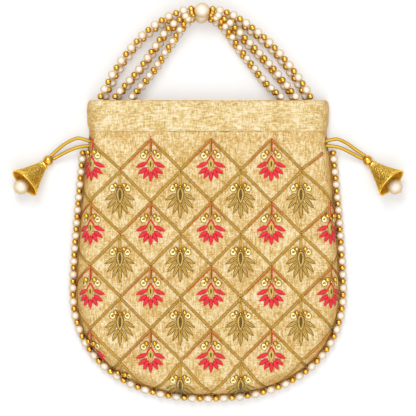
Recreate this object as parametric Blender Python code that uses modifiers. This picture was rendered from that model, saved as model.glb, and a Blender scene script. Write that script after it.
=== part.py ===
"""A drawstring potli bag lying on its back: a brocade bag with an embroidered lattice, a string of
pearls round its seam, two three-strand bead handles and a bell tassel on each drawstring."""

import math

import bmesh
import bpy
from mathutils import Vector

# Lengths are written in millimetres and made metres where a mesh is built
MM = 0.001

# Bag panels
CLOTH = 0.9
BAG_THICK = 14.8
EDGE_ROUND = 9.0
HALF_WIDTH = 98.3
WIDEST_Y = -63.9
BOTTOM_Y = -143.7
PANEL_TOP_Y = 53.1
SHOULDER_HALF_WIDTH = 89.2
TAPER_POWER = 1.33
ROUND_POWER = 2.3
SEAM_GAP = 0.3

# Hem band over the mouth
HEM_HEIGHT = 23.4
HEM_BOW = 1.8
TAPE_WIDTH = 14.0
TAPE_INSET = 9.5

# Casing and the drawstrings in it
CORD_R = 1.3
CORD_GAP = 0.35
CASING_LOW_Y = 42.0
CASING_HALF_LENGTH = 72.5
RUN_GAP = 1.4
SLIT_LOW_Y = 40.7
EYELET_Y = 44.4
EYELET_X = 88.0
EYELET_SPREAD = 1.6
SWING_ROOM = 1.7

# Pearl and gold beads
BEAD_GAP = 0.3
BEAD_SIDES = 5
THREAD_R = 0.6
PIPING_PEARL_R = 3.0
PIPING_GOLD_R = 2.15
PIPING_PAIRS = 47
PIPING_TOP_Y = 37.3
PIPING_Z = 3.2

# Handles: each strand is a route from the hem to the big pearl, and its bead sizes. The routes are
# drawn for a bag of this half-width at its shoulder, and spread with it
ROUTE_SHOULDER = 89.2
HANDLE_PEARL_R = 5.8
HANDLE_HEM_GAP = 2.9
HANDLE_FLAT_Z = 3.2
HANDLE_RISE = 35.0
FRONT_LIFT = 6.5
FRONT_APEX = (-4.5, 143.8)
BACK_APEX = (-4.9, 140.4)
BACK_HEM_SHIFT = 5.2
STRAND_BEADS = {
    "outer": {"pearl": 3.1, "gold": 2.3, "pitch": 6.1, "layer": 0, "bare": 0.0},
    "middle": {"pearl": 2.9, "gold": 2.2, "pitch": 5.8, "layer": 1, "bare": 27.0},
    "inner": {"pearl": 2.5, "gold": 2.0, "pitch": 5.25, "layer": 2, "bare": 18.0},
}
STRAND_ROUTES = {
    "left_outer": [(-80.5, 0.0), (-69.2, 19.5), (-58.4, 34.4), (-44.5, 49.3), (-29.3, 59.8), (-14.3, 65.5)],
    "left_middle": [(-69.6, 0.0), (-51.2, 21.1), (-42.0, 34.1), (-32.5, 47.8), (-24.5, 55.3), (-13.2, 62.2)],
    "left_inner": [(-57.0, 0.0), (-41.2, 19.5), (-31.7, 34.1), (-19.5, 52.2), (-12.5, 60.3)],
    "right_outer": [(76.7, 0.0), (68.0, 14.1), (54.2, 31.9), (39.8, 46.4), (20.8, 60.0), (5.0, 65.3)],
    "right_middle": [(65.7, 0.0), (49.4, 20.6), (35.0, 36.6), (24.0, 47.8), (15.5, 55.8), (3.8, 62.8)],
    "right_inner": [(54.8, 0.0), (44.3, 9.6), (35.0, 21.4), (23.1, 37.4), (11.8, 53.6), (3.8, 60.3)],
}

# Embroidered lattice and its motifs
LATTICE_X = 2.2
LATTICE_TOP_Y = 48.2
DIAMOND_WIDTH = 45.1
DIAMOND_HEIGHT = 47.6
BRAID_WIDTH = 2.2
BRAID_THICK = 0.9
MOTIF_ROWS = 4
FLOWER_HALF = [(0.8, 0.8), (0.8, -10.8), (7.6, -12.9), (1.2, -15.4), (11.1, -22.2), (5.6, -24.4), (8.0, -29.4),
               (2.4, -27.6)]
FLOWER_TIP = -32.5
LEAF_HALF = [(0.8, 0.8), (0.8, -11.4), (7.8, -13.6), (1.2, -15.8), (10.5, -23.2), (4.6, -23.6), (7.4, -30.6),
             (2.6, -29.6)]
LEAF_TIP = -35.5

# Tassels: ball, bell and the pearl in the bell's mouth
BALL_R = 3.8
BALL_X = 120.0
BALL_Y = 31.8
BELL_TOP_R = 3.9
BELL_RIM_R = 12.4
BELL_LENGTH = 21.9
BELL_WALL = 0.8
BELL_TURN = 44.5
BELL_TILT = 20.0
BELL_GAP = 0.5
DROP_PEARL_R = 5.75
DROP_SINK = 4.3
DROP_OUT = 2.2
PIN_R = 0.5
CORD_ROUTES = {
    "left": {"upper": [(-92.4, 47.4, 8.0), (-98.1, 48.4, 7.9), (-106.0, 45.0, 6.4), (-112.5, 40.2, 4.7)],
             "lower": [(-93.0, 42.4, 8.0), (-98.9, 41.2, 7.9), (-106.2, 38.2, 6.4), (-111.6, 35.4, 4.7)]},
    "right": {"upper": [(92.6, 47.3, 8.0), (97.6, 47.6, 7.9), (104.6, 44.4, 6.4), (111.6, 39.4, 4.7)],
              "lower": [(93.2, 42.5, 8.0), (99.6, 41.1, 7.8), (106.4, 37.9, 6.3), (111.4, 35.3, 4.7)]},
}
CORD_END_ANGLES = {"upper": 58.0, "lower": 16.0}

# Heights and places worked out from the sizes above
SEAM_Z = CLOTH + SEAM_GAP
INNER_TOP_Z = BAG_THICK - CLOTH
MID_Z = (CLOTH + INNER_TOP_Z) / 2
HEM_LOW_Y = PANEL_TOP_Y + SEAM_GAP
HEM_TOP_Y = HEM_LOW_Y + HEM_HEIGHT
HANDLE_HEM_Y = HEM_TOP_Y + HANDLE_HEM_GAP
CASING_HIGH_Y = PANEL_TOP_Y - SEAM_GAP
CHANNEL = 2 * CORD_R + 2 * CORD_GAP
RUN_TOP_Z = INNER_TOP_Z - CHANNEL / 2
RUN_LOW_Z = CLOTH + CHANNEL / 2
TAPE_TOP_Z = INNER_TOP_Z - SEAM_GAP
TAPE_LOW_Z = CLOTH + SEAM_GAP


def clear_scene():
    for obj in list(bpy.data.objects):
        bpy.data.objects.remove(obj, do_unlink=True)


def new_collection(name, hidden=False):
    collection = bpy.data.collections.new(name)
    bpy.context.scene.collection.children.link(collection)
    collection.hide_render = hidden
    return collection


def new_material(name, colour, roughness, metallic=0.0):
    material = bpy.data.materials.new(name)
    material.use_nodes = True
    shader = material.node_tree.nodes["Principled BSDF"]
    shader.inputs["Base Color"].default_value = (*colour, 1.0)
    shader.inputs["Roughness"].default_value = roughness
    shader.inputs["Metallic"].default_value = metallic
    material.diffuse_color = (*colour, 1.0)
    return material


def add_object(name, data, material=None, collection=None):
    obj = bpy.data.objects.new(name, data)
    (collection or PARTS).objects.link(obj)
    if material:
        obj.data.materials.append(material)
    return obj


def add_cutter(name, data):
    obj = add_object(name, data, collection=CUTTERS)
    obj.hide_render = True
    obj.display_type = "WIRE"
    return obj


def mesh_from(bm, name):
    mesh = bpy.data.meshes.new(name)
    bm.to_mesh(mesh)
    bm.free()
    return mesh


def solidify(obj, thickness, offset=-1.0):
    modifier = obj.modifiers.new("wall", "SOLIDIFY")
    modifier.thickness = thickness * MM
    modifier.offset = offset
    modifier.use_even_offset = True


def boolean(obj, other, operation):
    modifier = obj.modifiers.new(operation.lower(), "BOOLEAN")
    modifier.operation = operation
    modifier.solver = "EXACT"
    modifier.object = other


def smooth_points(points, steps=10):
    """A dense line through the route's points, curved evenly from one to the next."""
    route = [Vector(point) for point in points]
    route = [2 * route[0] - route[1]] + route + [2 * route[-1] - route[-2]]
    line = []
    for i in range(1, len(route) - 2):
        a, b, c, d = route[i - 1:i + 3]
        for step in range(steps):
            t = step / steps
            bend = (2 * a - 5 * b + 4 * c - d) * t ** 2 + (3 * b - a - 3 * c + d) * t ** 3
            line.append((2 * b + (c - a) * t + bend) / 2)
    return line + [route[-2]]


def lengths_along(line):
    lengths = [0.0]
    for a, b in zip(line, line[1:]):
        lengths.append(lengths[-1] + (b - a).length)
    return lengths


def point_at(line, lengths, distance):
    """The point at a distance along the line, carried straight on past either end."""
    i = 0
    while i < len(line) - 2 and lengths[i + 1] < distance:
        i += 1
    share = (distance - lengths[i]) / (lengths[i + 1] - lengths[i])
    return line[i].lerp(line[i + 1], share)


def blend(share):
    """Rises smoothly from 0 to 1 as the share does."""
    share = min(max(share, 0.0), 1.0)
    return share * share * (3 - 2 * share)


def side_half_width(y):
    drop = (HALF_WIDTH - SHOULDER_HALF_WIDTH) / (PANEL_TOP_Y - WIDEST_Y) ** TAPER_POWER
    return HALF_WIDTH - drop * (y - WIDEST_Y) ** TAPER_POWER


def seam_line(top_y, side_steps, round_steps):
    """The bag's seam from the top left, round the bottom, to the top right."""
    left = [Vector((-side_half_width(y), y, 0)) for y in
            (top_y + (WIDEST_Y - top_y) * step / side_steps for step in range(side_steps))]
    bottom = []
    for step in range(round_steps + 1):
        angle = math.pi * (1 + step / round_steps)
        across, down = math.cos(angle), math.sin(angle)
        x = math.copysign(abs(across) ** (2 / ROUND_POWER), across) * HALF_WIDTH
        y = WIDEST_Y - abs(down) ** (2 / ROUND_POWER) * (WIDEST_Y - BOTTOM_Y)
        bottom.append(Vector((x, y, 0)))
    right = [Vector((-point.x, point.y, 0)) for point in reversed(left)]
    return left + bottom + right


def shift_in(points, distance, cyclic):
    """The line moved to its left, which is inwards on a line that runs anticlockwise."""
    moved = []
    for i, point in enumerate(points):
        before = points[i - 1] if cyclic or i else point
        after = points[(i + 1) % len(points)] if cyclic or i < len(points) - 1 else point
        along = (after - before).normalized()
        moved.append(point + Vector((-along.y, along.x, 0)) * distance)
    return moved


def edge_profile(angle, lift=0.0):
    """How far in and how high the rounded edge is at an angle of 0 at the seam and 90 at the top."""
    angle = math.radians(angle)
    rise = BAG_THICK - SEAM_Z
    out, up = math.cos(angle) / EDGE_ROUND, math.sin(angle) / rise
    size = math.hypot(out, up)
    inset = EDGE_ROUND * (1 - math.cos(angle)) - lift * out / size
    return inset, SEAM_Z + rise * math.sin(angle) + lift * up / size


def panel_dome(angles, lift=0.0):
    """The front panel's face as an open surface: rings round the seam, cut off at the panel's top."""
    outline = seam_line(PANEL_TOP_Y + 3 * EDGE_ROUND, side_steps=5, round_steps=20)
    bm = bmesh.new()
    rings = []
    for angle in angles:
        inset, z = edge_profile(angle, lift)
        rings.append([bm.verts.new((p.x * MM, p.y * MM, z * MM)) for p in shift_in(outline, inset, True)])
    count = len(outline)
    for low, high in zip(rings, rings[1:]):
        for i in range(count):
            j = (i + 1) % count
            bm.faces.new((low[i], low[j], high[j], high[i]))
    bm.faces.new(rings[-1])
    trim_above(bm, PANEL_TOP_Y)
    return mesh_from(bm, "panel_dome")


def trim_above(bm, y):
    everything = bm.verts[:] + bm.edges[:] + bm.faces[:]
    bmesh.ops.bisect_plane(bm, geom=everything, dist=1e-7, plane_co=(0, y * MM, 0),
                           plane_no=(0, 1, 0), clear_outer=True)


def box_mesh(low, high, name="box"):
    bm = bmesh.new()
    add_box(bm, low, high)
    return mesh_from(bm, name)


def add_box(bm, low, high):
    box = bmesh.ops.create_cube(bm, size=1)
    for vert in box["verts"]:
        vert.co = Vector([(a + (b - a) * (c + 0.5)) * MM for a, b, c in zip(low, high, vert.co)])


def add_prism(bm, outline, low_z, high_z):
    """An upright solid on a flat outline that runs anticlockwise."""
    base = bm.faces.new([bm.verts.new((x * MM, y * MM, low_z * MM)) for x, y in outline])
    base.normal_flip()
    raised = bmesh.ops.extrude_face_region(bm, geom=[base], use_keep_orig=True)["geom"]
    top = [item for item in raised if isinstance(item, bmesh.types.BMVert)]
    bmesh.ops.translate(bm, verts=top, vec=(0, 0, (high_z - low_z) * MM))


def make_bag():
    front = add_object("front_panel", panel_dome((0, 30, 60, 90)), BROCADE)
    solidify(front, CLOTH)
    bm = bmesh.new()
    for side in (-1, 1):
        ends = sorted((side * (EYELET_X - 6.5), side * (EYELET_X + 6)))
        add_box(bm, (ends[0], SLIT_LOW_Y, CLOTH), (ends[1], CASING_HIGH_Y, MID_Z + 4.2))
    slits = add_cutter("cord_slits", mesh_from(bm, "cord_slits"))
    boolean(front, slits, "DIFFERENCE")

    bm = bmesh.new()
    outline = seam_line(PANEL_TOP_Y + EDGE_ROUND, side_steps=5, round_steps=20)
    bm.faces.new([bm.verts.new((p.x * MM, p.y * MM, 0)) for p in outline])
    trim_above(bm, PANEL_TOP_Y)
    back = add_object("back_panel", mesh_from(bm, "back_panel"), PLAIN_SILK)
    solidify(back, CLOTH, 1.0)
    return slits


def hem_stations():
    """Half-widths of the hem band up its height: its sides bow out between the seam and the mouth."""
    for share, bow in ((0.0, 0.0), (0.3, 0.8), (0.7, 1.0), (0.92, 0.75), (1.0, 0.1)):
        yield SHOULDER_HALF_WIDTH + HEM_BOW * bow, HEM_LOW_Y + HEM_HEIGHT * share


def make_hem():
    bm = bmesh.new()
    rows = []
    for half_width, y in hem_stations():
        left = [edge_profile(angle) for angle in (0, 30, 60, 90)]
        row = [(inset - half_width, z) for inset, z in left] + [(half_width - inset, z) for inset, z in left[::-1]]
        rows.append([bm.verts.new((x * MM, y * MM, z * MM)) for x, z in row])
    for low, high in zip(rows, rows[1:]):
        for i in range(len(low) - 1):
            bm.faces.new((low[i], low[i + 1], high[i + 1], high[i]))
    front = add_object("front_hem", mesh_from(bm, "front_hem"), PLAIN_SILK)
    solidify(front, CLOTH)

    bm = bmesh.new()
    right = [(half_width, y) for half_width, y in hem_stations()]
    left = [(-x, y) for x, y in reversed(right)]
    bm.faces.new([bm.verts.new((x * MM, y * MM, 0)) for x, y in right + left])
    back = add_object("back_hem", mesh_from(bm, "back_hem"), PLAIN_SILK)
    solidify(back, CLOTH, 1.0)

    reach = SHOULDER_HALF_WIDTH - TAPE_INSET
    low_y = HEM_TOP_Y - TAPE_WIDTH
    for name, low_z in (("front_strand_tape", TAPE_TOP_Z - CLOTH), ("back_strand_tape", TAPE_LOW_Z)):
        add_object(name, box_mesh((-reach, low_y, low_z), (reach, HEM_TOP_Y, low_z + CLOTH), name), GOLD_SILK)


def make_casing():
    """A strip with both long edges turned to the panel, which makes the channel for the drawstrings."""
    for name, wall_z, way in (("front_casing", INNER_TOP_Z - SEAM_GAP, -1), ("back_casing", CLOTH + SEAM_GAP, 1)):
        depth = CHANNEL - SEAM_GAP
        profile = [(CASING_LOW_Y, 0), (CASING_LOW_Y, depth + CLOTH), (CASING_HIGH_Y, depth + CLOTH),
                   (CASING_HIGH_Y, 0), (CASING_HIGH_Y - CLOTH, 0), (CASING_HIGH_Y - CLOTH, depth),
                   (CASING_LOW_Y + CLOTH, depth), (CASING_LOW_Y + CLOTH, 0)]
        bm = bmesh.new()
        ring = [bm.verts.new((-CASING_HALF_LENGTH * MM, y * MM, (wall_z + way * d) * MM)) for y, d in profile]
        end = bm.faces.new(ring)
        moved = bmesh.ops.extrude_face_region(bm, geom=[end], use_keep_orig=True)["geom"]
        far = [item for item in moved if isinstance(item, bmesh.types.BMVert)]
        bmesh.ops.translate(bm, verts=far, vec=(2 * CASING_HALF_LENGTH * MM, 0, 0))
        bmesh.ops.recalc_face_normals(bm, faces=bm.faces[:])
        add_object(name, mesh_from(bm, name), GOLD_SILK)


def tube(name, points, radii, material, sides=8, section=None):
    """A tube along the points, as thick as each point's radius, round or on a section of its own."""
    curve = bpy.data.curves.new(name, "CURVE")
    curve.dimensions = "3D"
    if section:
        curve.bevel_mode = "OBJECT"
        curve.bevel_object = section
    else:
        curve.bevel_depth = MM
        curve.bevel_resolution = (sides - 4) // 2
    curve.use_fill_caps = True
    spline = curve.splines.new("POLY")
    spline.points.add(len(points) - 1)
    for spot, point, radius in zip(spline.points, points, radii):
        spot.co = (*(Vector(point) * MM), 1.0)
        spot.radius = radius
    return add_object(name, curve, material)


def make_drawstrings():
    """Each cord goes once round the casing: out along the front, over at the far side and home along the back."""
    middle_y = (CASING_LOW_Y + CASING_HIGH_Y) / 2
    turn = (RUN_TOP_Z - RUN_LOW_Z) / 2
    run_x = CASING_HALF_LENGTH
    for name, side, run_y in (("left_drawstring", 1, middle_y + RUN_GAP + CORD_GAP),
                              ("right_drawstring", -1, middle_y - RUN_GAP - CORD_GAP)):
        exit_x = -(EYELET_X - SWING_ROOM)
        out_y, home_y = EYELET_Y + EYELET_SPREAD, EYELET_Y - EYELET_SPREAD
        route = [(exit_x, out_y, MID_Z), (exit_x + CORD_R, out_y, MID_Z), (-83.8, (run_y + out_y) / 2, 9.8),
                 (-80.5, run_y, RUN_TOP_Z - 0.4), (-run_x, run_y, RUN_TOP_Z), (run_x, run_y, RUN_TOP_Z)]
        route += [(run_x + turn * math.sin(math.radians(angle)), run_y, MID_Z + turn * math.cos(math.radians(angle)))
                  for angle in (36, 72, 108, 144)]
        route += [(run_x, run_y, RUN_LOW_Z), (-run_x, run_y, RUN_LOW_Z), (-80.5, run_y, RUN_LOW_Z + 0.4),
                  (-83.8, (run_y + home_y) / 2, 5.0), (exit_x + CORD_R, home_y, MID_Z), (exit_x, home_y, MID_Z)]
        points = [(side * x, y, z) for x, y, z in route]
        tube(name, points, [CORD_R] * len(points), GOLD_SILK, sides=6)


def bead_section():
    """The five-sided ring that every bead string is swept on, with a radius of 1 mm."""
    curve = bpy.data.curves.new("bead_section", "CURVE")
    curve.dimensions = "2D"
    curve.fill_mode = "NONE"
    ring = curve.splines.new("POLY")
    ring.points.add(BEAD_SIDES - 1)
    ring.use_cyclic_u = True
    for i, spot in enumerate(ring.points):
        angle = -math.tau * i / BEAD_SIDES
        spot.co = (math.cos(angle) * MM, math.sin(angle) * MM, 0, 1)
    return add_cutter("bead_section", curve)


def bead_string(name, line, beads, material, start=None, end=None):
    """Beads on a thread: a tube that is widest at each bead's middle and thread-thin between beads."""
    lengths = lengths_along(line)
    first = beads[0][0] - beads[0][1] if start is None else start
    last = beads[-1][0] + beads[-1][1] if end is None else end
    rings = [(first, THREAD_R)]
    for i, (distance, radius) in enumerate(beads):
        if i and distance - beads[i - 1][0] > 3 * radius + beads[i - 1][1]:
            rings += [(beads[i - 1][0] + beads[i - 1][1], THREAD_R), (distance - radius, THREAD_R)]
        elif i:
            before, size = beads[i - 1]
            rings.append((before + (distance - before) * size / (size + radius), THREAD_R))
        rings.append((distance, radius))
    if last - beads[-1][0] > 2 * beads[-1][1]:
        rings.append((beads[-1][0] + beads[-1][1], THREAD_R))
    rings.append((last, THREAD_R))
    points = [point_at(line, lengths, distance) for distance, radius in rings]
    return tube(name, points, [radius for distance, radius in rings], material, section=BEAD_SECTION)


def make_piping():
    """Pearls and gold beads in turn round the seam, from one drawstring slit to the other."""
    line = shift_in(seam_line(PIPING_TOP_Y, side_steps=30, round_steps=90), -PIPING_PEARL_R - BEAD_GAP, False)
    line = [point + Vector((0, 0, PIPING_Z)) for point in line]
    pitch = lengths_along(line)[-1] / (2 * PIPING_PAIRS)
    beads = [(i * pitch, PIPING_GOLD_R if i % 2 else PIPING_PEARL_R) for i in range(2 * PIPING_PAIRS + 1)]
    bead_string("pearl_piping", line, beads, PEARL)


def strand_line(route, beads, front):
    """A strand's route in space: flat on what is under it, and up to the big pearl at its end."""
    apex = Vector((*(FRONT_APEX if front else BACK_APEX), 0))
    flat_z = HANDLE_FLAT_Z + (FRONT_LIFT if front else 0)
    apex_z = handle_apex_z(front)
    shift = Vector((BACK_APEX[0] - FRONT_APEX[0], BACK_APEX[1] - FRONT_APEX[1], 0))
    reach = route[-1][1]
    side = math.copysign(1, route[0][0])
    line = []
    spread = SHOULDER_HALF_WIDTH / ROUTE_SHOULDER
    for point in smooth_points([(x * spread, y, 0) for x, y in route]):
        share = point.y / reach
        spot = Vector((point.x, HANDLE_HEM_Y + point.y, 0))
        if not front:
            spot += shift * share - Vector((side * BACK_HEM_SHIFT * (1 - share), 0, 0))
        near_apex = blend(1 - (spot - apex).length / HANDLE_RISE)
        near_hem = blend(1 - point.y / 15)
        drop = beads["layer"] * (1.8 if front else 1.2) * blend(1 - (spot - apex).length / 25)
        spot.z = flat_z + (apex_z - flat_z) * near_apex + (hem_z(front) - flat_z) * near_hem - drop
        line.append(spot)
    return line, apex + Vector((0, 0, apex_z))


def hem_z(front):
    """Height of the first beads, which sit against the edge of the tape that holds the strands."""
    reach = STRAND_BEADS["outer"]["pearl"] + BEAD_GAP
    drop = math.sqrt(reach ** 2 - HANDLE_HEM_GAP ** 2)
    return TAPE_TOP_Z - CLOTH - drop if front else TAPE_LOW_Z + CLOTH + drop


def handle_apex_z(front):
    """The back pearl lies on the table, and the front one on the back one."""
    low = HANDLE_PEARL_R + 0.1
    if not front:
        return low
    reach = 2 * HANDLE_PEARL_R + BEAD_GAP
    aside = math.dist(FRONT_APEX, BACK_APEX)
    return low + math.sqrt(reach ** 2 - aside ** 2)


def make_handle(prefix, front):
    pivot = bpy.data.objects.new(f"{prefix}_handle_pivot", None)
    pivot.location = (0, HANDLE_HEM_Y * MM, hem_z(front) * MM)
    PARTS.objects.link(pivot)
    for place, route in STRAND_ROUTES.items():
        sizes = STRAND_BEADS[place.split("_")[1]]
        line, apex = strand_line(route, sizes, front)
        lengths = lengths_along(line)
        beads = []
        for i in range(int(lengths[-1] / sizes["pitch"]) + 1):
            radius = sizes["gold"] if i % 2 else sizes["pearl"]
            gap = (point_at(line, lengths, i * sizes["pitch"]) - apex).length
            if gap > max(sizes["bare"], HANDLE_PEARL_R + radius + BEAD_GAP):
                beads.append((i * sizes["pitch"], radius))
        inward = (apex - line[-1]).normalized()
        seat = apex - inward * (HANDLE_PEARL_R + BEAD_GAP)
        line.append(seat)
        end = lengths_along(line)[-1]
        strand = bead_string(f"{prefix}_strand_{place}", line, beads, PEARL, end=end)
        hang(strand, pivot)
    pearl = add_sphere(f"{prefix}_handle_pearl", HANDLE_PEARL_R, apex, PEARL)
    hang(pearl, pivot)


def add_sphere(name, radius, centre, material, segments=12, rings=7):
    bm = bmesh.new()
    bmesh.ops.create_uvsphere(bm, u_segments=segments, v_segments=rings, radius=radius * MM)
    mesh = mesh_from(bm, name)
    mesh.shade_smooth()
    obj = add_object(name, mesh, material)
    obj.location = Vector(centre) * MM
    return obj


def hang(obj, pivot):
    obj.parent = pivot
    obj.location = obj.location - pivot.location


def mirrored_outline(half, tip):
    left = [(-x, y) for x, y in half]
    return left + [(0.0, tip)] + half[::-1]


def make_embroidery(slits):
    """Couched cords in a lattice, a flower or a leaf in each diamond, all lying on the front panel."""
    high = BAG_THICK + 6
    slope = Vector((DIAMOND_WIDTH / 2, -DIAMOND_HEIGHT / 2))
    run = slope.normalized()
    across = Vector((-run.y, run.x)) * BRAID_WIDTH / 2
    bars = []
    for sign in (1, -1):
        bm = bmesh.new()
        for column in range(-5, 6):
            start = Vector((column * DIAMOND_WIDTH, 0)) - run * 0.6
            end = start + run * 12 * DIAMOND_HEIGHT
            corners = [start - across, end - across, end + across, start + across]
            outline = [(LATTICE_X + sign * p.x, LATTICE_TOP_Y + p.y) for p in corners]
            add_prism(bm, outline[::sign], -1 - 0.1 * sign, high + 0.1 * sign)
        bars.append(mesh_from(bm, "bars"))
    motifs = bmesh.new()
    for row in range(MOTIF_ROWS):
        for column in range(-2, 3):
            place_motif(motifs, FLOWER_HALF, FLOWER_TIP, column, row)
            place_motif(motifs, LEAF_HALF, LEAF_TIP, column + 0.5, row + 0.5)
    sheet = add_object("embroidery", panel_dome((60, 90), SEAM_GAP), GOLD_THREAD)
    solidify(sheet, BRAID_THICK, 1.0)
    net = add_cutter("lattice_bars", bars[0])
    boolean(net, add_cutter("lattice_bars_across", bars[1]), "UNION")
    boolean(net, add_cutter("motif_outlines", mesh_from(motifs, "motifs")), "UNION")
    boolean(sheet, net, "INTERSECT")
    boolean(sheet, slits, "DIFFERENCE")
    keep_largest(sheet)


def place_motif(bm, half, tip, column, row):
    x = LATTICE_X + column * DIAMOND_WIDTH
    y = LATTICE_TOP_Y - row * DIAMOND_HEIGHT
    outline = [(x + dx, y + dy) for dx, dy in mirrored_outline(half, tip)]
    add_prism(bm, outline, -2, BAG_THICK + 7)


def keep_largest(obj):
    """Makes the modifiers' result the object's mesh, without the scraps that the seam cuts off."""
    bpy.context.view_layer.update()
    graph = bpy.context.evaluated_depsgraph_get()
    mesh = bpy.data.meshes.new_from_object(obj.evaluated_get(graph))
    obj.modifiers.clear()
    bm = bmesh.new()
    bm.from_mesh(mesh)
    bmesh.ops.remove_doubles(bm, verts=bm.verts[:], dist=1e-6)
    left = set(bm.verts)
    groups = []
    while left:
        group, reach = set(), [left.pop()]
        while reach:
            vert = reach.pop()
            group.add(vert)
            for edge in vert.link_edges:
                other = edge.other_vert(vert)
                if other in left:
                    left.discard(other)
                    reach.append(other)
        groups.append(group)
    keep = max(groups, key=len)
    scraps = [vert for group in groups if group is not keep for vert in group]
    bmesh.ops.delete(bm, geom=scraps, context="VERTS")
    bm.to_mesh(mesh)
    bm.free()
    obj.data = mesh


def turned(name, profile, material, steps):
    """A profile of (radius, height) points turned about the object's own Z axis."""
    bm = bmesh.new()
    verts = [bm.verts.new((radius * MM, 0, height * MM)) for radius, height in profile]
    for a, b in zip(verts, verts[1:]):
        bm.edges.new((a, b))
    if profile[0][0] > 0:
        bm.edges.new((verts[-1], verts[0]))
    obj = add_object(name, mesh_from(bm, name), material)
    screw = obj.modifiers.new("turn", "SCREW")
    screw.axis = "Z"
    screw.angle = math.tau
    screw.steps = steps
    screw.render_steps = steps
    screw.use_merge_vertices = True
    screw.merge_threshold = 0.00001
    screw.use_smooth_shade = True
    return obj


def bell_profile():
    """The bell hangs down from its neck at height 0: collar, waist, flare and rolled rim, then the inside."""
    flare = BELL_RIM_R - BELL_TOP_R
    outside = [(BELL_TOP_R - 0.9, 0.0), (BELL_TOP_R, -0.9), (BELL_TOP_R - 0.5, -2.2),
               (BELL_TOP_R + 0.12 * flare, -0.27 * BELL_LENGTH), (BELL_TOP_R + 0.36 * flare, -0.55 * BELL_LENGTH),
               (BELL_TOP_R + 0.68 * flare, -0.8 * BELL_LENGTH), (BELL_RIM_R - 0.6, -BELL_LENGTH + 1.2),
               (BELL_RIM_R, -BELL_LENGTH + 0.5), (BELL_RIM_R - 0.5, -BELL_LENGTH)]
    inside = [(BELL_RIM_R - 0.6 - BELL_WALL, -BELL_LENGTH + 0.2)]
    inside += [(radius - BELL_WALL, height) for radius, height in reversed(outside[3:6])]
    inside += [(BELL_TOP_R - 0.5 - BELL_WALL, -2.4), (PIN_R + SEAM_GAP, -2.2), (PIN_R + SEAM_GAP, 0.0)]
    return outside + inside


def make_tassel(side, sign):
    pivot = bpy.data.objects.new(f"{side}_tassel_pivot", None)
    pivot.location = Vector((sign * EYELET_X, EYELET_Y, MID_Z)) * MM
    PARTS.objects.link(pivot)
    ball = Vector((sign * BALL_X, BALL_Y, BALL_R + 0.1))
    for place, angle in CORD_END_ANGLES.items():
        turn = math.radians(angle)
        start = Vector((sign * EYELET_X, EYELET_Y + EYELET_SPREAD * (1 if place == "upper" else -1), MID_Z))
        end = ball + Vector((-sign * math.cos(turn), math.sin(turn), 0)) * (BALL_R + 2 * SEAM_GAP)
        route = smooth_points([start] + CORD_ROUTES[side][place] + [end], steps=4)[::3]
        route = route if (route[-1] - end).length < 0.01 else route[:-1] + [end]
        hang(tube(f"{side}_cord_{place}", route, [CORD_R] * len(route), GOLD_SILK), pivot)
    hang(add_sphere(f"{side}_ball", BALL_R, ball, BRASS, segments=10, rings=6), pivot)

    turn, tilt = math.radians(BELL_TURN), math.radians(BELL_TILT)
    axis = Vector((sign * math.cos(turn) * math.cos(tilt), -math.sin(turn) * math.cos(tilt), math.sin(tilt)))
    neck = ball + axis * (BALL_R + BELL_GAP)
    neck.z = BELL_RIM_R * math.cos(tilt) + 0.1 - BELL_LENGTH * math.sin(tilt)
    bell = turned(f"{side}_bell", bell_profile(), BRASS, 14)
    bell.location = neck * MM
    bell.rotation_mode = "QUATERNION"
    bell.rotation_quaternion = Vector((0, 0, -1)).rotation_difference(axis)
    hang(bell, pivot)

    up = (Vector((0, 0, 1)) - axis * axis.z).normalized()
    centre = neck + axis * (BELL_LENGTH + DROP_OUT) - up * DROP_SINK
    pin_end = neck + axis * 3.2
    length = (centre - pin_end).length
    profile = [(0.0, length), (PIN_R, length), (PIN_R, DROP_PEARL_R)]
    profile += [(DROP_PEARL_R * math.sin(math.radians(a)), DROP_PEARL_R * math.cos(math.radians(a)))
                for a in (24, 48, 72, 96, 120, 144)]
    profile += [(0.9, -DROP_PEARL_R), (0.0, -DROP_PEARL_R - 0.8)]
    drop = turned(f"{side}_drop_pearl", profile, PEARL, 10)
    drop.location = centre * MM
    drop.rotation_mode = "QUATERNION"
    drop.rotation_quaternion = Vector((0, 0, 1)).rotation_difference((pin_end - centre).normalized())
    hang(drop, pivot)


clear_scene()
PARTS = new_collection("potli_bag")
CUTTERS = new_collection("cutters", hidden=True)
BROCADE = new_material("gold_brocade", (0.80, 0.62, 0.34), 0.5)
PLAIN_SILK = new_material("plain_silk", (0.83, 0.67, 0.38), 0.5)
GOLD_SILK = new_material("gold_silk_cord", (0.72, 0.42, 0.06), 0.4)
GOLD_THREAD = new_material("gold_thread", (0.45, 0.32, 0.08), 0.45, 0.4)
PEARL = new_material("pearl_and_gold", (0.90, 0.84, 0.72), 0.25)
BRASS = new_material("gold_metal", (0.75, 0.50, 0.13), 0.3, 1.0)

BEAD_SECTION = bead_section()

cord_slits = make_bag()
make_hem()
make_casing()
make_drawstrings()
make_embroidery(cord_slits)
make_piping()
make_handle("front", True)
make_handle("back", False)
make_tassel("left", -1)
make_tassel("right", 1)
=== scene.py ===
"""The looks of a gold potli bag that lies on a white table: slubbed silk, a couched lattice with
padded flowers, pearl and gold beads round the seam and in both handles, and a bell on each cord."""

import math
import random

import bmesh
import bpy
from mathutils import Matrix, Vector, noise
from mathutils.kdtree import KDTree


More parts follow.
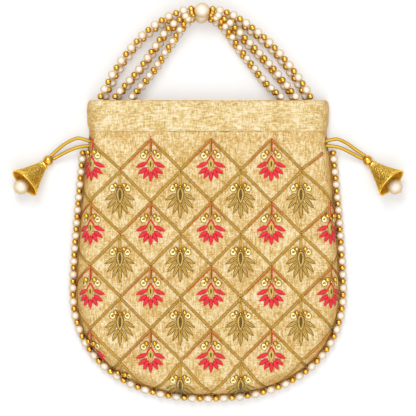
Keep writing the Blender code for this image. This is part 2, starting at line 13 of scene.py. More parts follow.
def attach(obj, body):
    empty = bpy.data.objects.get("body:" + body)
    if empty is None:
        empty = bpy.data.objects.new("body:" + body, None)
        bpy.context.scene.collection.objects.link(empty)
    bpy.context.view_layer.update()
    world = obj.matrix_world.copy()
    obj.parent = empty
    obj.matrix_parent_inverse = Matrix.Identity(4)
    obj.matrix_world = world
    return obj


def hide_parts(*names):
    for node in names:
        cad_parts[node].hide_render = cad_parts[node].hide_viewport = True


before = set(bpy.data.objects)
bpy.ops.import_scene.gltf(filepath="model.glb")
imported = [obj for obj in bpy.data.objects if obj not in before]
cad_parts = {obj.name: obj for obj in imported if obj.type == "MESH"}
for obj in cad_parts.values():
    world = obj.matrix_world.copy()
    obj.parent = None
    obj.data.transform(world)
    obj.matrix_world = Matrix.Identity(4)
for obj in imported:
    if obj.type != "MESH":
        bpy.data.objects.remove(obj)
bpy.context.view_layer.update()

# Lengths are written in millimetres and made metres where a mesh is built
MM = 0.001

# The photograph's frame: its middle looks straight down at this point, 312 mm wide
VIEW_WIDTH = 312.0
VIEW_CENTRE = (0.0, -3.9, 7.0)
CAMERA_HEIGHT = 2500.0
SENSOR = 36.0

# Bag, the same sizes as the solids have
CLOTH = 0.9
EDGE_ROUND = 9.0
SEAM_Z = 1.2
TOP_Z = 14.8
RISE = TOP_Z - SEAM_Z
HALF_WIDTH = 98.3
WIDEST_Y = -63.9
BOTTOM_Y = -143.7
PANEL_TOP_Y = 53.1
SHOULDER_HALF_WIDTH = 89.2
TAPER_POWER = 1.33
ROUND_POWER = 2.3
HEM_LOW_Y = 53.4
HEM_TOP_Y = 76.8
HEM_BOW = 1.8
HEM_FOLD = 1.2
HEM_TUCK = 0.5
SLIT_LOW = (84.0, 39.2)
SLIT_HIGH = (94.0, 48.9)
SLIT_TOP_Z = 10.4
PUFF = 0.75
PUFF_REACH = 3.4

# The panel's top goes under the band, and both meet this high over the bag's form
JOIN_LIFT = 0.3
TUCK = 1.5
TUCK_TOP_Y = 55.6

# Length of cloth over the rounded edge, from the flat of the panel down to the seam
EDGE_ARC = math.pi / 2 * math.sqrt((EDGE_ROUND ** 2 + RISE ** 2) / 2)

# Lattice of couched cords and the motifs in it
LATTICE_X = 2.2
LATTICE_TOP_Y = 48.2
DIAMOND_WIDTH = 45.1
DIAMOND_HEIGHT = 47.6
LATTICE_ROWS = 9
LATTICE_REACH = 9
COUCHED_R = 0.42
COUCHED_APART = 0.38
COUCHED_LIFT = 0.45
EDGE_R = 0.34
EDGE_APART = 0.76
EDGE_LIFT = 0.2
RED_LINE_R = 0.48
RED_LINE_LOW = 0.62
RED_LINE_LIFT = 0.62
CORNER_GAP = 0.5
STITCH_STEP = 1.2
STEM_R = 0.5
MOTIF_MIDDLE = 17.0
MOTIF_INWARD = 0.25
MOTIF_BALL_R = 1.9
MOTIF_SEED_R = 0.95
SEQUIN_R = 1.55
SEQUIN_WIRE_R = 0.95
PETAL_WIDTH = 3.5
PETAL_RISE = 1.05
FINGER_WIDTH = 3.5
RIB_WIDTH = 1.1
RIB_RISE = 0.55
WELT_R = 1.0
WELT_OUT = 0.7
WELT_Z = 1.05
WELT_TOP_Y = 38.6

# Beads
PEARL_R = 3.0
GOLD_R = 2.15
BEAD_GAP = 0.3
BEAD_SWELL = 0.245
THREAD_R = 0.45
THREAD_STEPS = 60
PIPING_PAIRS = 47
PIPING_TOP_Y = 37.3
PIPING_Z = 3.2
HANDLE_PEARL_R = 5.8
HANDLE_HEM_Y = 79.7
HANDLE_FLAT_Z = 3.2
HANDLE_RISE = 35.0
HANDLE_FALL = 15.0
LAYERS_REACH = 25.0
FRONT_LAYER = 1.8
BACK_LAYER = 1.2
FRONT_LIFT = 6.5
FRONT_APEX = (-4.5, 143.8)
BACK_APEX = (-4.9, 140.4)
FRONT_HEM_Z = 10.925
BACK_HEM_Z = 3.875
STRAND_BEADS = {
    "outer": {"pearl": 3.15, "gold": 2.4, "layer": 0, "back_shift": 3.6},
    "middle": {"pearl": 2.95, "gold": 2.3, "layer": 1, "back_shift": 2.4},
    "inner": {"pearl": 2.6, "gold": 2.1, "layer": 2, "back_shift": 1.6},
}
STRAND_COUNTS = {"left_outer": 17, "left_middle": 17, "left_inner": 16,
                 "right_outer": 19, "right_middle": 18, "right_inner": 18}
STRAND_ROUTES = {
    "left_outer": [(-80.5, 0.0), (-69.9, 19.5), (-59.3, 34.4), (-45.5, 49.3), (-29.8, 59.8),
                   (-14.3, 65.5)],
    "left_middle": [(-69.6, 0.0), (-51.2, 21.1), (-42.0, 34.1), (-32.5, 47.8), (-24.5, 55.3),
                    (-13.2, 62.2)],
    "left_inner": [(-57.0, 0.0), (-41.2, 19.5), (-31.7, 34.1), (-19.5, 52.2), (-12.5, 60.3)],
    "right_outer": [(76.7, 0.0), (68.0, 14.1), (54.2, 31.9), (39.8, 46.4), (20.8, 60.0), (5.0, 65.3)],
    "right_middle": [(65.7, 0.0), (49.4, 20.6), (35.0, 36.6), (24.0, 47.8), (15.5, 55.8),
                     (3.8, 62.8)],
    "right_inner": [(54.8, 0.0), (44.3, 9.6), (35.0, 21.4), (23.1, 37.4), (11.8, 53.6), (3.8, 60.3)],
}

# Tassels
EYELET_X = 88.0
EYELET_Y = 44.4
EYELET_SPREAD = 1.6
MID_Z = 7.4
CORD_R = 1.3
CORD_TWIST = 0.5
BALL_R = 3.8
BALL_X = 120.0
BALL_Y = 31.8
BALL_Z = 3.9
BELL_TOP_R = 3.9
BELL_RIM_R = 12.4
BELL_LENGTH = 21.9
BELL_WALL = 0.8
BELL_TURN = 44.5
BELL_TILT = 20.0
BELL_GAP = 0.5
BELL_RELIEF = 0.6
DROP_PEARL_R = 5.75
DROP_SINK = 4.3
DROP_OUT = 2.2
PIN_R = 0.5
PIN_TOP = 3.2
CORD_ROUTES = {
    "left": {"upper": [(-92.4, 47.4, 8.0), (-98.1, 48.4, 7.9), (-106.0, 45.0, 6.4), (-112.5, 40.2, 4.7)],
             "lower": [(-93.0, 42.4, 8.0), (-98.9, 41.2, 7.9), (-106.2, 38.2, 6.4), (-111.6, 35.4, 4.7)]},
    "right": {"upper": [(92.6, 47.3, 8.0), (97.6, 47.6, 7.9), (104.6, 44.4, 6.4), (111.6, 39.4, 4.7)],
              "lower": [(93.2, 42.5, 8.0), (99.6, 41.1, 7.8), (106.4, 37.9, 6.3), (111.4, 35.3, 4.7)]},
}
CORD_END_ANGLES = {"upper": 58.0, "lower": 16.0}

# The white table, in metres
TABLE_SIZE = 14.0
TABLE_Z = -0.0002
TABLE_WHITE = (0.72, 0.72, 0.72, 1.0)
TABLE_GLOW = 0.22


def make_camera():
    data = bpy.data.cameras.new("camera")
    data.sensor_width = SENSOR
    data.lens = SENSOR * CAMERA_HEIGHT / VIEW_WIDTH
    data.clip_end = 100
    camera = bpy.data.objects.new("camera", data)
    camera.location = (Vector(VIEW_CENTRE) + Vector((0, 0, CAMERA_HEIGHT))) * MM
    bpy.context.scene.collection.objects.link(camera)
    bpy.context.scene.camera = camera


# Materials

def feed(tree, socket, value):
    """Gives a socket a plain value, or links it to another node's output."""
    if isinstance(value, bpy.types.NodeSocket):
        tree.links.new(value, socket)
    else:
        socket.default_value = value


def add_node(tree, kind, **inputs):
    """A node with its sockets set by name, or by number where the name is at0, at1 and so on."""
    node = tree.nodes.new(kind)
    for name, value in inputs.items():
        key = int(name[2:]) if name.startswith("at") else name
        feed(tree, node.inputs[key], value)
    return node


def mix_colour(tree, share, first, second, way="MIX"):
    node = tree.nodes.new("ShaderNodeMix")
    node.data_type = "RGBA"
    node.blend_type = way
    for index, value in ((0, share), (6, first), (7, second)):
        feed(tree, node.inputs[index], value)
    return node.outputs[2]


def sums(tree, way, first, second):
    """One step of arithmetic, named as the Math node names it."""
    node = add_node(tree, "ShaderNodeMath", at0=first, at1=second)
    node.operation = way
    return node.outputs[0]


def weighted(tree, *parts):
    """The sum of values, each times its weight."""
    shares = [sums(tree, "MULTIPLY", value, weight) for value, weight in parts]
    total = shares[0]
    for share in shares[1:]:
        total = sums(tree, "ADD", total, share)
    return total


def span(tree, value, low, high, to_low=0.0, to_high=1.0):
    """A value moved from one range to another, and held inside it."""
    node = add_node(tree, "ShaderNodeMapRange", at0=value, at1=low, at2=high, at3=to_low,
                    at4=to_high)
    return node.outputs[0]


def object_place(tree, scale=(1.0, 1.0, 1.0), turn=0.0):
    place = tree.nodes.new("ShaderNodeTexCoord").outputs["Object"]
    mapping = add_node(tree, "ShaderNodeMapping", Vector=place, Scale=scale, Rotation=(0, 0, turn))
    return mapping.outputs[0]


def noise_at(tree, place, scale, detail=2.0, roughness=0.5):
    node = add_node(tree, "ShaderNodeTexNoise", Vector=place, Scale=scale, Detail=detail,
                    Roughness=roughness)
    return node.outputs[0]


def wave_lines(tree, place, axis, scale, distortion):
    """Fine parallel lines that follow one another along an axis."""
    node = add_node(tree, "ShaderNodeTexWave", Vector=place, Scale=scale, Distortion=distortion)
    node.bands_direction = axis
    return node.outputs["Fac"]


def slub_group():
    """Silk threads: fine parallel lines with thick slubs and cloudy light and dark areas."""
    group = bpy.data.node_groups.new("slub_weave", "ShaderNodeTree")
    face = group.interface
    for name, kind, value in (("Along", "NodeSocketVector", None), ("Slubs", "NodeSocketFloat", 1.0)):
        socket = face.new_socket(name, in_out="INPUT", socket_type=kind)
        if value is not None:
            socket.default_value = value
    for name in ("Tone", "Thread", "Height"):
        face.new_socket(name, in_out="OUTPUT", socket_type="NodeSocketFloat")
    start = group.nodes.new("NodeGroupInput")
    end = group.nodes.new("NodeGroupOutput")
    place = start.outputs["Along"]
    long_way = add_node(group, "ShaderNodeMapping", Vector=place, Scale=(1.0, 0.24, 1.0)).outputs[0]
    cross_way = add_node(group, "ShaderNodeMapping", Vector=place, Scale=(0.3, 1.0, 1.0)).outputs[0]
    streak = noise_at(group, long_way, 950.0, 3.0, 0.65)
    cross = noise_at(group, cross_way, 1100.0, 3.0, 0.65)
    cloud = noise_at(group, place, 110.0, 3.0, 0.6)
    slub = span(group, noise_at(group, long_way, 420.0, 2.0), 0.56, 0.7)
    slubs = sums(group, "MULTIPLY", slub, start.outputs["Slubs"])
    tone = weighted(group, (streak, 0.42), (cloud, 0.22), (cross, 0.36), (slubs, 0.04))
    warp = wave_lines(group, place, "X", 900.0, 1.5)
    weft = wave_lines(group, place, "Y", 900.0, 1.5)
    thread = sums(group, "MULTIPLY", warp, weft)
    height = sums(group, "ADD", sums(group, "MULTIPLY", thread, 0.35), streak)
    group.links.new(tone, end.inputs["Tone"])
    group.links.new(thread, end.inputs["Thread"])
    group.links.new(height, end.inputs["Height"])
    return group


def shading_group():
    """How squarely a face looks up or down: 1 on top of a bead or thread, 0 at its side. It is the mask
    for the shade painted down the sides and the light painted on top.
    """
    group = bpy.data.node_groups.new("up_facing", "ShaderNodeTree")
    for name, value in (("Low", 0.1), ("High", 0.8)):
        socket = group.interface.new_socket(name, in_out="INPUT", socket_type="NodeSocketFloat")
        socket.default_value = value
    group.interface.new_socket("Up", in_out="OUTPUT", socket_type="NodeSocketFloat")
    start = group.nodes.new("NodeGroupInput")
    end = group.nodes.new("NodeGroupOutput")
    normal = group.nodes.new("ShaderNodeTexCoord").outputs["Normal"]
    up = add_node(group, "ShaderNodeSeparateXYZ", Vector=normal).outputs["Z"]
    size = sums(group, "ABSOLUTE", up, 0.0)
    facing = span(group, size, start.outputs["Low"], start.outputs["High"])
    group.links.new(facing, end.inputs["Up"])
    return group


SLUBS = slub_group()
UP_FACING = shading_group()


def new_material(name):
    material = bpy.data.materials.new(name)
    material.use_nodes = True
    return material, material.node_tree, material.node_tree.nodes["Principled BSDF"]


def place_group(tree, group, **inputs):
    node = tree.nodes.new("ShaderNodeGroup")
    node.node_tree = group
    for name, value in inputs.items():
        feed(tree, node.inputs[name], value)
    return node


def set_sockets(shader, **values):
    """Plain values for a shader's sockets, with _ for the spaces in their names."""
    for name, value in values.items():
        shader.inputs[name.replace("_", " ")].default_value = value


def add_bump(tree, shader, height, distance, strength=1.0):
    bump = add_node(tree, "ShaderNodeBump", Height=height, Strength=strength, Distance=distance * MM)
    tree.links.new(bump.outputs[0], shader.inputs["Normal"])


def ramp(tree, value, stops):
    node = add_node(tree, "ShaderNodeValToRGB", Fac=value)
    elements = node.color_ramp.elements
    while len(elements) < len(stops):
        elements.new(0.5)
    for element, (place, colour) in zip(elements, stops):
        element.position = place
        element.color = (*colour, 1.0)
    return node.outputs[0]


def silk_material(name, turn, stops, slubs=1.0):
    """Gold tissue silk. Its threads run along Y, or along X where it is turned."""
    material, tree, shader = new_material(name)
    weave = place_group(tree, SLUBS, Along=object_place(tree, turn=turn), Slubs=slubs)
    colour = ramp(tree, weave.outputs["Tone"], stops)
    # Painted shade: the colour is multiplied darker and warmer where the cloth turns down over the
    # rounded edge
    painted_edge_shade = mix_colour(tree, 1.0, colour, (1.0, 0.82, 0.49, 1.0), "MULTIPLY")
    up = place_group(tree, UP_FACING, Low=0.35, High=0.92).outputs["Up"]
    tree.links.new(mix_colour(tree, up, painted_edge_shade, colour), shader.inputs["Base Color"])
    roughness = span(tree, weave.outputs["Thread"], 0.0, 1.0, 0.62, 0.42)
    tree.links.new(roughness, shader.inputs["Roughness"])
    set_sockets(shader, Sheen_Weight=0.1, Sheen_Roughness=0.4, Sheen_Tint=(1.0, 0.8, 0.45, 1.0),
                Specular_IOR_Level=0.3)
    add_bump(tree, shader, weave.outputs["Height"], 0.25, 0.5)
    return material


BODY_STOPS = [(0.40, (0.48, 0.265, 0.05)), (0.465, (0.65, 0.41, 0.125)),
              (0.52, (0.76, 0.56, 0.25)), (0.59, (0.87, 0.745, 0.48))]
BAND_STOPS = [(0.40, (0.50, 0.29, 0.065)), (0.465, (0.67, 0.46, 0.155)),
              (0.52, (0.78, 0.61, 0.30)), (0.59, (0.88, 0.76, 0.52))]


def cord_material():
    """Satin cord: fine lines that wind round it, with painted shade darker down its sides."""
    material, tree, shader = new_material("satin_cord")
    place = tree.nodes.new("ShaderNodeUVMap").outputs[0]
    twisted = add_node(tree, "ShaderNodeMapping", Vector=place, Rotation=(0, 0, CORD_TWIST)).outputs[0]
    lines = wave_lines(tree, twisted, "Y", 3.0, 1.0)
    colour = ramp(tree, lines, [(0.0, (0.92, 0.50, 0.015)), (1.0, (1.0, 0.76, 0.11))])
    up = place_group(tree, UP_FACING, Low=0.6, High=1.0).outputs["Up"]
    # Painted shade: the colour goes to dark brown down the cord's sides, where the face turns away from
    # up
    colour = mix_colour(tree, up, (0.44, 0.16, 0.002, 1.0), colour)
    tree.links.new(colour, shader.inputs["Base Color"])
    set_sockets(shader, Roughness=0.34, Sheen_Weight=0.15, Sheen_Tint=(1.0, 0.7, 0.25, 1.0),
                Specular_Tint=(1.0, 0.8, 0.4, 1.0))
    add_bump(tree, shader, lines, 0.12, 0.6)
    return material


def thread_material(name, dark, light, metallic, roughness, scale=1500.0):
    """Embroidery thread: fine twisted lines, with painted shade darker down its sides."""
    material, tree, shader = new_material(name)
    place = object_place(tree)
    lines = wave_lines(tree, place, "X", scale, 2.0)
    cloud = noise_at(tree, place, 500.0, 2.0)
    tone = weighted(tree, (lines, 0.35), (cloud, 0.65))
    colour = ramp(tree, tone, [(0.25, dark), (0.7, light)])
    up = place_group(tree, UP_FACING, Low=0.15, High=0.85).outputs["Up"]
    # Painted shade: a third of the dark colour down the thread's sides
    painted_side_shade = tuple(value * 0.35 for value in dark)
    colour = mix_colour(tree, up, (*painted_side_shade, 1.0), colour)
    tree.links.new(colour, shader.inputs["Base Color"])
    set_sockets(shader, Metallic=metallic, Roughness=roughness)
    add_bump(tree, shader, lines, 0.1, 0.5)
    return material


def pearl_material():
    """Pearl with painted light and shade: white where it looks up and warm tan round its rim, with a
    clear coat.
    """
    material, tree, shader = new_material("pearl")
    cloud = noise_at(tree, object_place(tree), 220.0, 3.0)
    up = place_group(tree, UP_FACING, Low=0.0, High=1.0).outputs["Up"]
    shade = sums(tree, "ADD", up, span(tree, cloud, 0.3, 0.7, -0.06, 0.06))
    # Painted light and shade: near white where the face looks up, tan round the rim for the shade and
    # warm reflection there
    colour = ramp(tree, shade, [(0.0, (0.58, 0.36, 0.12)), (0.58, (0.81, 0.60, 0.31)),
                                (0.84, (0.92, 0.84, 0.71)), (1.0, (0.93, 0.91, 0.88))])
    tree.links.new(colour, shader.inputs["Base Color"])
    tree.links.new(span(tree, cloud, 0.3, 0.7, 0.14, 0.24), shader.inputs["Roughness"])
    set_sockets(shader, Coat_Weight=0.55, Coat_Roughness=0.1, Coat_Tint=(1.0, 0.93, 0.84, 1.0),
                Sheen_Weight=0.15)
    return material


def gold_material(name, dark, light, roughness):
    """Polished gold, clouded, with painted shade darker down the sides of a bead."""
    material, tree, shader = new_material(name)
    cloud = noise_at(tree, object_place(tree), 300.0, 3.0)
    colour = ramp(tree, cloud, [(0.3, dark), (0.65, light)])
    up = place_group(tree, UP_FACING, Low=0.15, High=0.75).outputs["Up"]
    # Painted shade: a darker gold down the bead's sides
    painted_side_shade = tuple(value * 0.42 for value in dark)
    colour = mix_colour(tree, up, (*painted_side_shade, 1.0), colour)
    tree.links.new(colour, shader.inputs["Base Color"])
    dull = span(tree, cloud, 0.3, 0.7, roughness, roughness + 0.1)
    tree.links.new(dull, shader.inputs["Roughness"])
    set_sockets(shader, Metallic=1.0, Specular_Tint=(0.8, 0.5, 0.2, 1.0), Coat_Weight=0.25,
                Coat_Roughness=0.1)
    return material


def filigree_material():
    """Cast gold, with painted shade dark in the recesses of its relief. The relief is an attribute of the
    piece.
    """
    material, tree, shader = new_material("bell_gold")
    cloud = noise_at(tree, object_place(tree), 420.0, 4.0, 0.65)
    colour = ramp(tree, cloud, [(0.35, (0.98, 0.58, 0.05)), (0.62, (1.0, 0.80, 0.22))])
    height = add_node(tree, "ShaderNodeAttribute").outputs["Fac"]
    height.node.attribute_name = "relief"
    # Painted shade: dark brown in the recesses of the relief, full gold on its raised parts
    colour = mix_colour(tree, span(tree, height, 0.0, 0.6), (0.42, 0.17, 0.006, 1.0), colour)
    tree.links.new(colour, shader.inputs["Base Color"])
    tree.links.new(span(tree, height, 0.0, 1.0, 0.42, 0.2), shader.inputs["Roughness"])
    set_sockets(shader, Metallic=1.0, Specular_Tint=(0.8, 0.5, 0.2, 1.0))
    add_bump(tree, shader, noise_at(tree, object_place(tree), 1500.0, 4.0, 0.7), 0.25, 0.6)
    return material


def floor_material():
    """A white table that keeps the shadow, and glows a little where the eye or a reflection meets
    it."""
    material, tree, shader = new_material("white_table")
    tree.nodes.remove(shader)
    diffuse = add_node(tree, "ShaderNodeBsdfDiffuse", Color=TABLE_WHITE)
    path = tree.nodes.new("ShaderNodeLightPath")
    seen = sums(tree, "MAXIMUM", path.outputs["Is Camera Ray"], path.outputs["Is Glossy Ray"])
    seen = sums(tree, "MAXIMUM", seen, path.outputs["Is Transmission Ray"])
    glow = add_node(tree, "ShaderNodeEmission", Strength=sums(tree, "MULTIPLY", seen, TABLE_GLOW))
    both = tree.nodes.new("ShaderNodeAddShader")
    tree.links.new(diffuse.outputs[0], both.inputs[0])
    tree.links.new(glow.outputs[0], both.inputs[1])
    tree.links.new(both.outputs[0], tree.nodes["Material Output"].inputs["Surface"])
    return material


BROCADE = silk_material("gold_tissue", 0.0, BODY_STOPS)
PLAIN_SILK = silk_material("slubbed_silk", math.pi / 2, BAND_STOPS, 2.0)
SATIN_CORD = cord_material()
COUCHED_GOLD = thread_material("couched_gold_cord", (0.46, 0.23, 0.014), (0.82, 0.50, 0.075),
                               0.1, 0.38)
# The dark edge thread is partly outline thread and partly painted shade beside the raised lattice cords
COUCHED_EDGE = thread_material("couched_edge_thread", (0.25, 0.105, 0.004), (0.42, 0.19, 0.010),
                               0.0, 0.5)
LEAF_GOLD = thread_material("gold_leaf_thread", (0.50, 0.31, 0.03), (0.88, 0.62, 0.16), 0.1, 0.42)
BROWN_THREAD = thread_material("brown_thread", (0.07, 0.03, 0.006), (0.22, 0.12, 0.02), 0.2, 0.5)
PETAL_RED = thread_material("red_satin_stitch", (0.72, 0.005, 0.016), (0.95, 0.022, 0.05),
                            0.0, 0.33)
RUST_THREAD = thread_material("orange_red_thread", (0.50, 0.075, 0.004), (0.80, 0.21, 0.010),
                              0.0, 0.4)
# The welt's dark brown stands in for the shadow line between the cloth and the pearls: painted shade
WELT_SHADE_SILK = thread_material("welt_shade_silk", (0.42, 0.22, 0.03), (0.72, 0.46, 0.12), 0.0, 0.5)
DRAWSTRING = thread_material("drawstring_silk", (0.50, 0.24, 0.02), (0.80, 0.48, 0.08), 0.0, 0.4,
                             700.0)
PEARL = pearl_material()
BEAD_GOLD = gold_material("bead_gold", (0.88, 0.43, 0.025), (1.0, 0.64, 0.12), 0.15)
BELL_GOLD = filigree_material()
SEQUIN_GOLD = gold_material("sequin_gold", (0.86, 0.62, 0.16), (1.0, 0.90, 0.46), 0.3)


# Modelling helpers

def deselect():
    bpy.ops.object.select_all(action="DESELECT")


def active_piece(name):
    piece = bpy.context.active_object
    piece.name = name
    piece.data.name = name
    return piece


def piece_from(bm, name, *materials):
    mesh = bpy.data.meshes.new(name)
    bm.to_mesh(mesh)
    bm.free()
    mesh.shade_smooth()
    piece = bpy.data.objects.new(name, mesh)
    bpy.context.scene.collection.objects.link(piece)
    for material in materials:
        mesh.materials.append(material)
    return piece


def joined_copies(name, placed, *materials):
    """One piece out of copies of modelled shapes, each with its matrix and its material's number.

    With None for the number, the copy keeps the numbers that the shape's own faces have."""
    bm = bmesh.new()
    for shape, matrix, material in placed:
        first_vert, first_face = len(bm.verts), len(bm.faces)
        bm.from_mesh(shape.data)
        bm.verts.ensure_lookup_table()
        bm.faces.ensure_lookup_table()
        bmesh.ops.transform(bm, matrix=matrix, verts=bm.verts[first_vert:])
        if material is not None:
            for face in bm.faces[first_face:]:
                face.material_index = material
    return piece_from(bm, name, *materials)


def drop_shapes(*shapes):
    for shape in shapes:
        bpy.data.objects.remove(shape, do_unlink=True)


def apply_modifiers(piece):
    deselect()
    piece.select_set(True)
    bpy.context.view_layer.objects.active = piece
    for modifier in list(piece.modifiers):
        bpy.ops.object.modifier_apply(modifier=modifier.name)


def add_wall(piece, thickness):
    """Gives a sheet its thickness, inwards from the face that shows."""
    wall = piece.modifiers.new("wall", "SOLIDIFY")
    wall.thickness = thickness * MM
    wall.offset = -1.0
    apply_modifiers(piece)


def merge_doubles(piece, distance):
    """Merges the points that lie together, where a seam or pole has to close."""
    bm = bmesh.new()
    bm.from_mesh(piece.data)
    bmesh.ops.remove_doubles(bm, verts=bm.verts[:], dist=distance)
    bm.to_mesh(piece.data)
    bm.free()


def face_outwards(piece):
    bm = bmesh.new()
    bm.from_mesh(piece.data)
    bmesh.ops.recalc_face_normals(bm, faces=bm.faces[:])
    bm.to_mesh(piece.data)
    bm.free()


def sphere_shape(name, segments, rings):
    """A unit ball, 1 mm in radius, with its poles along Z."""
    deselect()
    bpy.ops.mesh.primitive_uv_sphere_add(segments=segments, ring_count=rings, radius=MM)
    shape = active_piece(name)
    shape.data.shade_smooth()
    return shape


def tube_from(name, lines, radius, material, resolution=1):
    """One mesh out of a bevelled curve with a spline for each line."""
    curve = bpy.data.curves.new(name, "CURVE")
    curve.dimensions = "3D"
    curve.bevel_depth = radius * MM
    curve.bevel_resolution = resolution
    curve.use_fill_caps = True
    for line in lines:
        spline = curve.splines.new("POLY")
        spline.points.add(len(line) - 1)
        for spot, point in zip(spline.points, line):
            spot.co = (*(Vector(point) * MM), 1.0)
    piece = bpy.data.objects.new(name, curve)
    bpy.context.scene.collection.objects.link(piece)
    deselect()
    piece.select_set(True)
    bpy.context.view_layer.objects.active = piece
    bpy.ops.object.convert(target="MESH")
    piece = bpy.context.active_object
    merge_doubles(piece, 1e-6)
    face_outwards(piece)
    piece.data.shade_smooth()
    piece.data.materials.clear()
    piece.data.materials.append(material)
    return piece


def smooth_points(points, steps=10):
    """A dense line through the route's points, curved evenly from one to the next."""
    route = [Vector(point) for point in points]
    route = [2 * route[0] - route[1]] + route + [2 * route[-1] - route[-2]]
    line = []
    for i in range(1, len(route) - 2):
        a, b, c, d = route[i - 1:i + 3]
        for step in range(steps):
            t = step / steps
            bend = (2 * a - 5 * b + 4 * c - d) * t ** 2 + (3 * b - a - 3 * c + d) * t ** 3
            line.append((2 * b + (c - a) * t + bend) / 2)
    return line + [route[-2]]


def lengths_along(line):
    lengths = [0.0]
    for a, b in zip(line, line[1:]):
        lengths.append(lengths[-1] + (b - a).length)
    return lengths


def point_at(line, lengths, distance):
    i = 0
    while i < len(line) - 2 and lengths[i + 1] < distance:
        i += 1
    share = (distance - lengths[i]) / (lengths[i + 1] - lengths[i])
    return line[i].lerp(line[i + 1], share)


def evenly(line, step):
    """The line again with points a step apart."""
    lengths = lengths_along(line)
    count = max(int(round(lengths[-1] / step)), 1)
    return [point_at(line, lengths, lengths[-1] * i / count) for i in range(count + 1)]


def blend(share):
    share = min(max(share, 0.0), 1.0)
    return share * share * (3 - 2 * share)


def to_point(place):
    return Matrix.Translation(Vector(place) * MM)


def stood_along(place, axis, own_axis=(0, 0, -1)):
    """Puts a shape at a place, with its own axis turned to another."""
    return to_point(place) @ Vector(own_axis).rotation_difference(axis).to_matrix().to_4x4()


# The bag's form

def side_half_width(y):
    drop = (HALF_WIDTH - SHOULDER_HALF_WIDTH) / (PANEL_TOP_Y - WIDEST_Y) ** TAPER_POWER
    return HALF_WIDTH - drop * (y - WIDEST_Y) ** TAPER_POWER


def right_seam(top_y, side_steps=60, round_steps=90):
    """The right half of the seam, from its top down to the middle of the bottom."""
    heights = [top_y + (WIDEST_Y - top_y) * i / side_steps for i in range(side_steps)]
    line = [Vector((side_half_width(y), y, 0)) for y in heights]
    for i in range(round_steps + 1):
        angle = math.pi / 2 * i / round_steps
        across, down = math.cos(angle), math.sin(angle)
        x = max(across, 0.0) ** (2 / ROUND_POWER) * HALF_WIDTH
        y = WIDEST_Y - down ** (2 / ROUND_POWER) * (WIDEST_Y - BOTTOM_Y)
        line.append(Vector((x, y, 0)))
    return line


def shift_out(line, distance):
    """The right seam moved outwards, with the way out at each of its points."""
    moved, ways = [], []
    for i, point in enumerate(line):
        before = line[max(i - 1, 0)]
        after = line[min(i + 1, len(line) - 1)]
        along = (after - before).normalized()
        way = Vector((-along.y, along.x, 0))
        if i == len(line) - 1:
            way = Vector((0, -1, 0))
        moved.append(point + way * distance)
        ways.append(way)
    return moved, ways


SEAM = right_seam(PANEL_TOP_Y + 40)
FLAT_EDGE, FLAT_WAYS = shift_out(evenly(SEAM, 0.35), -EDGE_ROUND)
FLAT_TREE = KDTree(len(FLAT_EDGE))
for number, spot in enumerate(FLAT_EDGE):
    FLAT_TREE.insert(spot, number)
FLAT_TREE.balance()


def past_flat(x, y):
    """How far a point is past the edge of the panel's flat, and which way that edge faces."""
    mirror = -1 if x < 0 else 1
    point = Vector((abs(x), y, 0))
    spot, number = FLAT_TREE.find(point)[:2]
    way = FLAT_WAYS[number]
    return (point - spot).dot(way), Vector((way.x * mirror, way.y, 0))


def to_cloth(x, y):
    """The point of the flat cloth that comes to lie at a place in the plan."""
    past, way = past_flat(x, y)
    if past <= 0:
        return Vector((x, y, 0))
    if past < EDGE_ROUND:
        along = EDGE_ARC * math.asin(past / EDGE_ROUND) / (math.pi / 2)
    else:
        along = EDGE_ARC + past - EDGE_ROUND
    return Vector((x, y, 0)) + way * (along - past)


def lattice_gap(x, y):
    """Distance to the nearest line of the lattice."""
    a = (x - LATTICE_X) / DIAMOND_WIDTH
    b = (LATTICE_TOP_Y - y) / DIAMOND_HEIGHT
    if b < 0:
        return DIAMOND_WIDTH
    gaps = [abs((value + 0.5) % 1 - 0.5) for value in (a + b, a - b)]
    return min(gaps) * DIAMOND_WIDTH * DIAMOND_HEIGHT / math.hypot(DIAMOND_WIDTH, DIAMOND_HEIGHT)


def cloth_relief(x, y):
    """The panel's cloth puffs up between the couched lines and has soft creases."""
    puff = PUFF
    if y < LATTICE_TOP_Y:
        puff *= 1 - math.exp(-(lattice_gap(x, y) / PUFF_REACH) ** 2)
    creases = noise.fractal(Vector((x * 0.075, y * 0.035, 3.1)), 0.9, 2.0, 3)
    fine = noise.noise(Vector((x * 0.35, y * 0.12, 8.4)))
    free = blend((PANEL_TOP_Y - y) / 5)
    tucked = TUCK * blend((y - 53.0) / 1.4)
    return free * (puff + 0.55 * creases + 0.14 * fine) + (1 - free) * JOIN_LIFT - tucked


def on_bag(x, y, height=0.0):
    """The place in space of a point drawn on the flat cloth, at a height over it."""
    past, way = past_flat(x, y)
    point = Vector((x, y, 0))
    if past <= 0:
        place, normal, held = point + Vector((0, 0, TOP_Z)), Vector((0, 0, 1)), 1.0
    else:
        angle = min(past / EDGE_ARC, 1.0) * math.pi / 2
        place = point + way * (EDGE_ROUND * math.sin(angle) - past)
        place.z = SEAM_Z + RISE * math.cos(angle)
        normal = way * (math.sin(angle) / EDGE_ROUND) + Vector((0, 0, math.cos(angle) / RISE))
        normal.normalize()
        held = 1 - blend(past / EDGE_ARC)
    return place + normal * (height + held * cloth_relief(place.x, place.y))


def bag_normal(x, y):
    past, way = past_flat(x, y)
    angle = min(max(past / EDGE_ARC, 0.0), 1.0) * math.pi / 2
    normal = way * (math.sin(angle) / EDGE_ROUND) + Vector((0, 0, math.cos(angle) / RISE))
    return normal.normalized()


def seat_on_bag(piece, x, y):
    """Bends a shape that was modelled flat at the origin over the panel, at a place in the cloth."""
    for vert in piece.data.vertices:
        flat = vert.co / MM
        vert.co = on_bag(flat.x + x, flat.y + y, flat.z) * MM


PANEL_COLUMNS = 150
PANEL_ROWS = 190
PANEL_MERGE = 2e-5


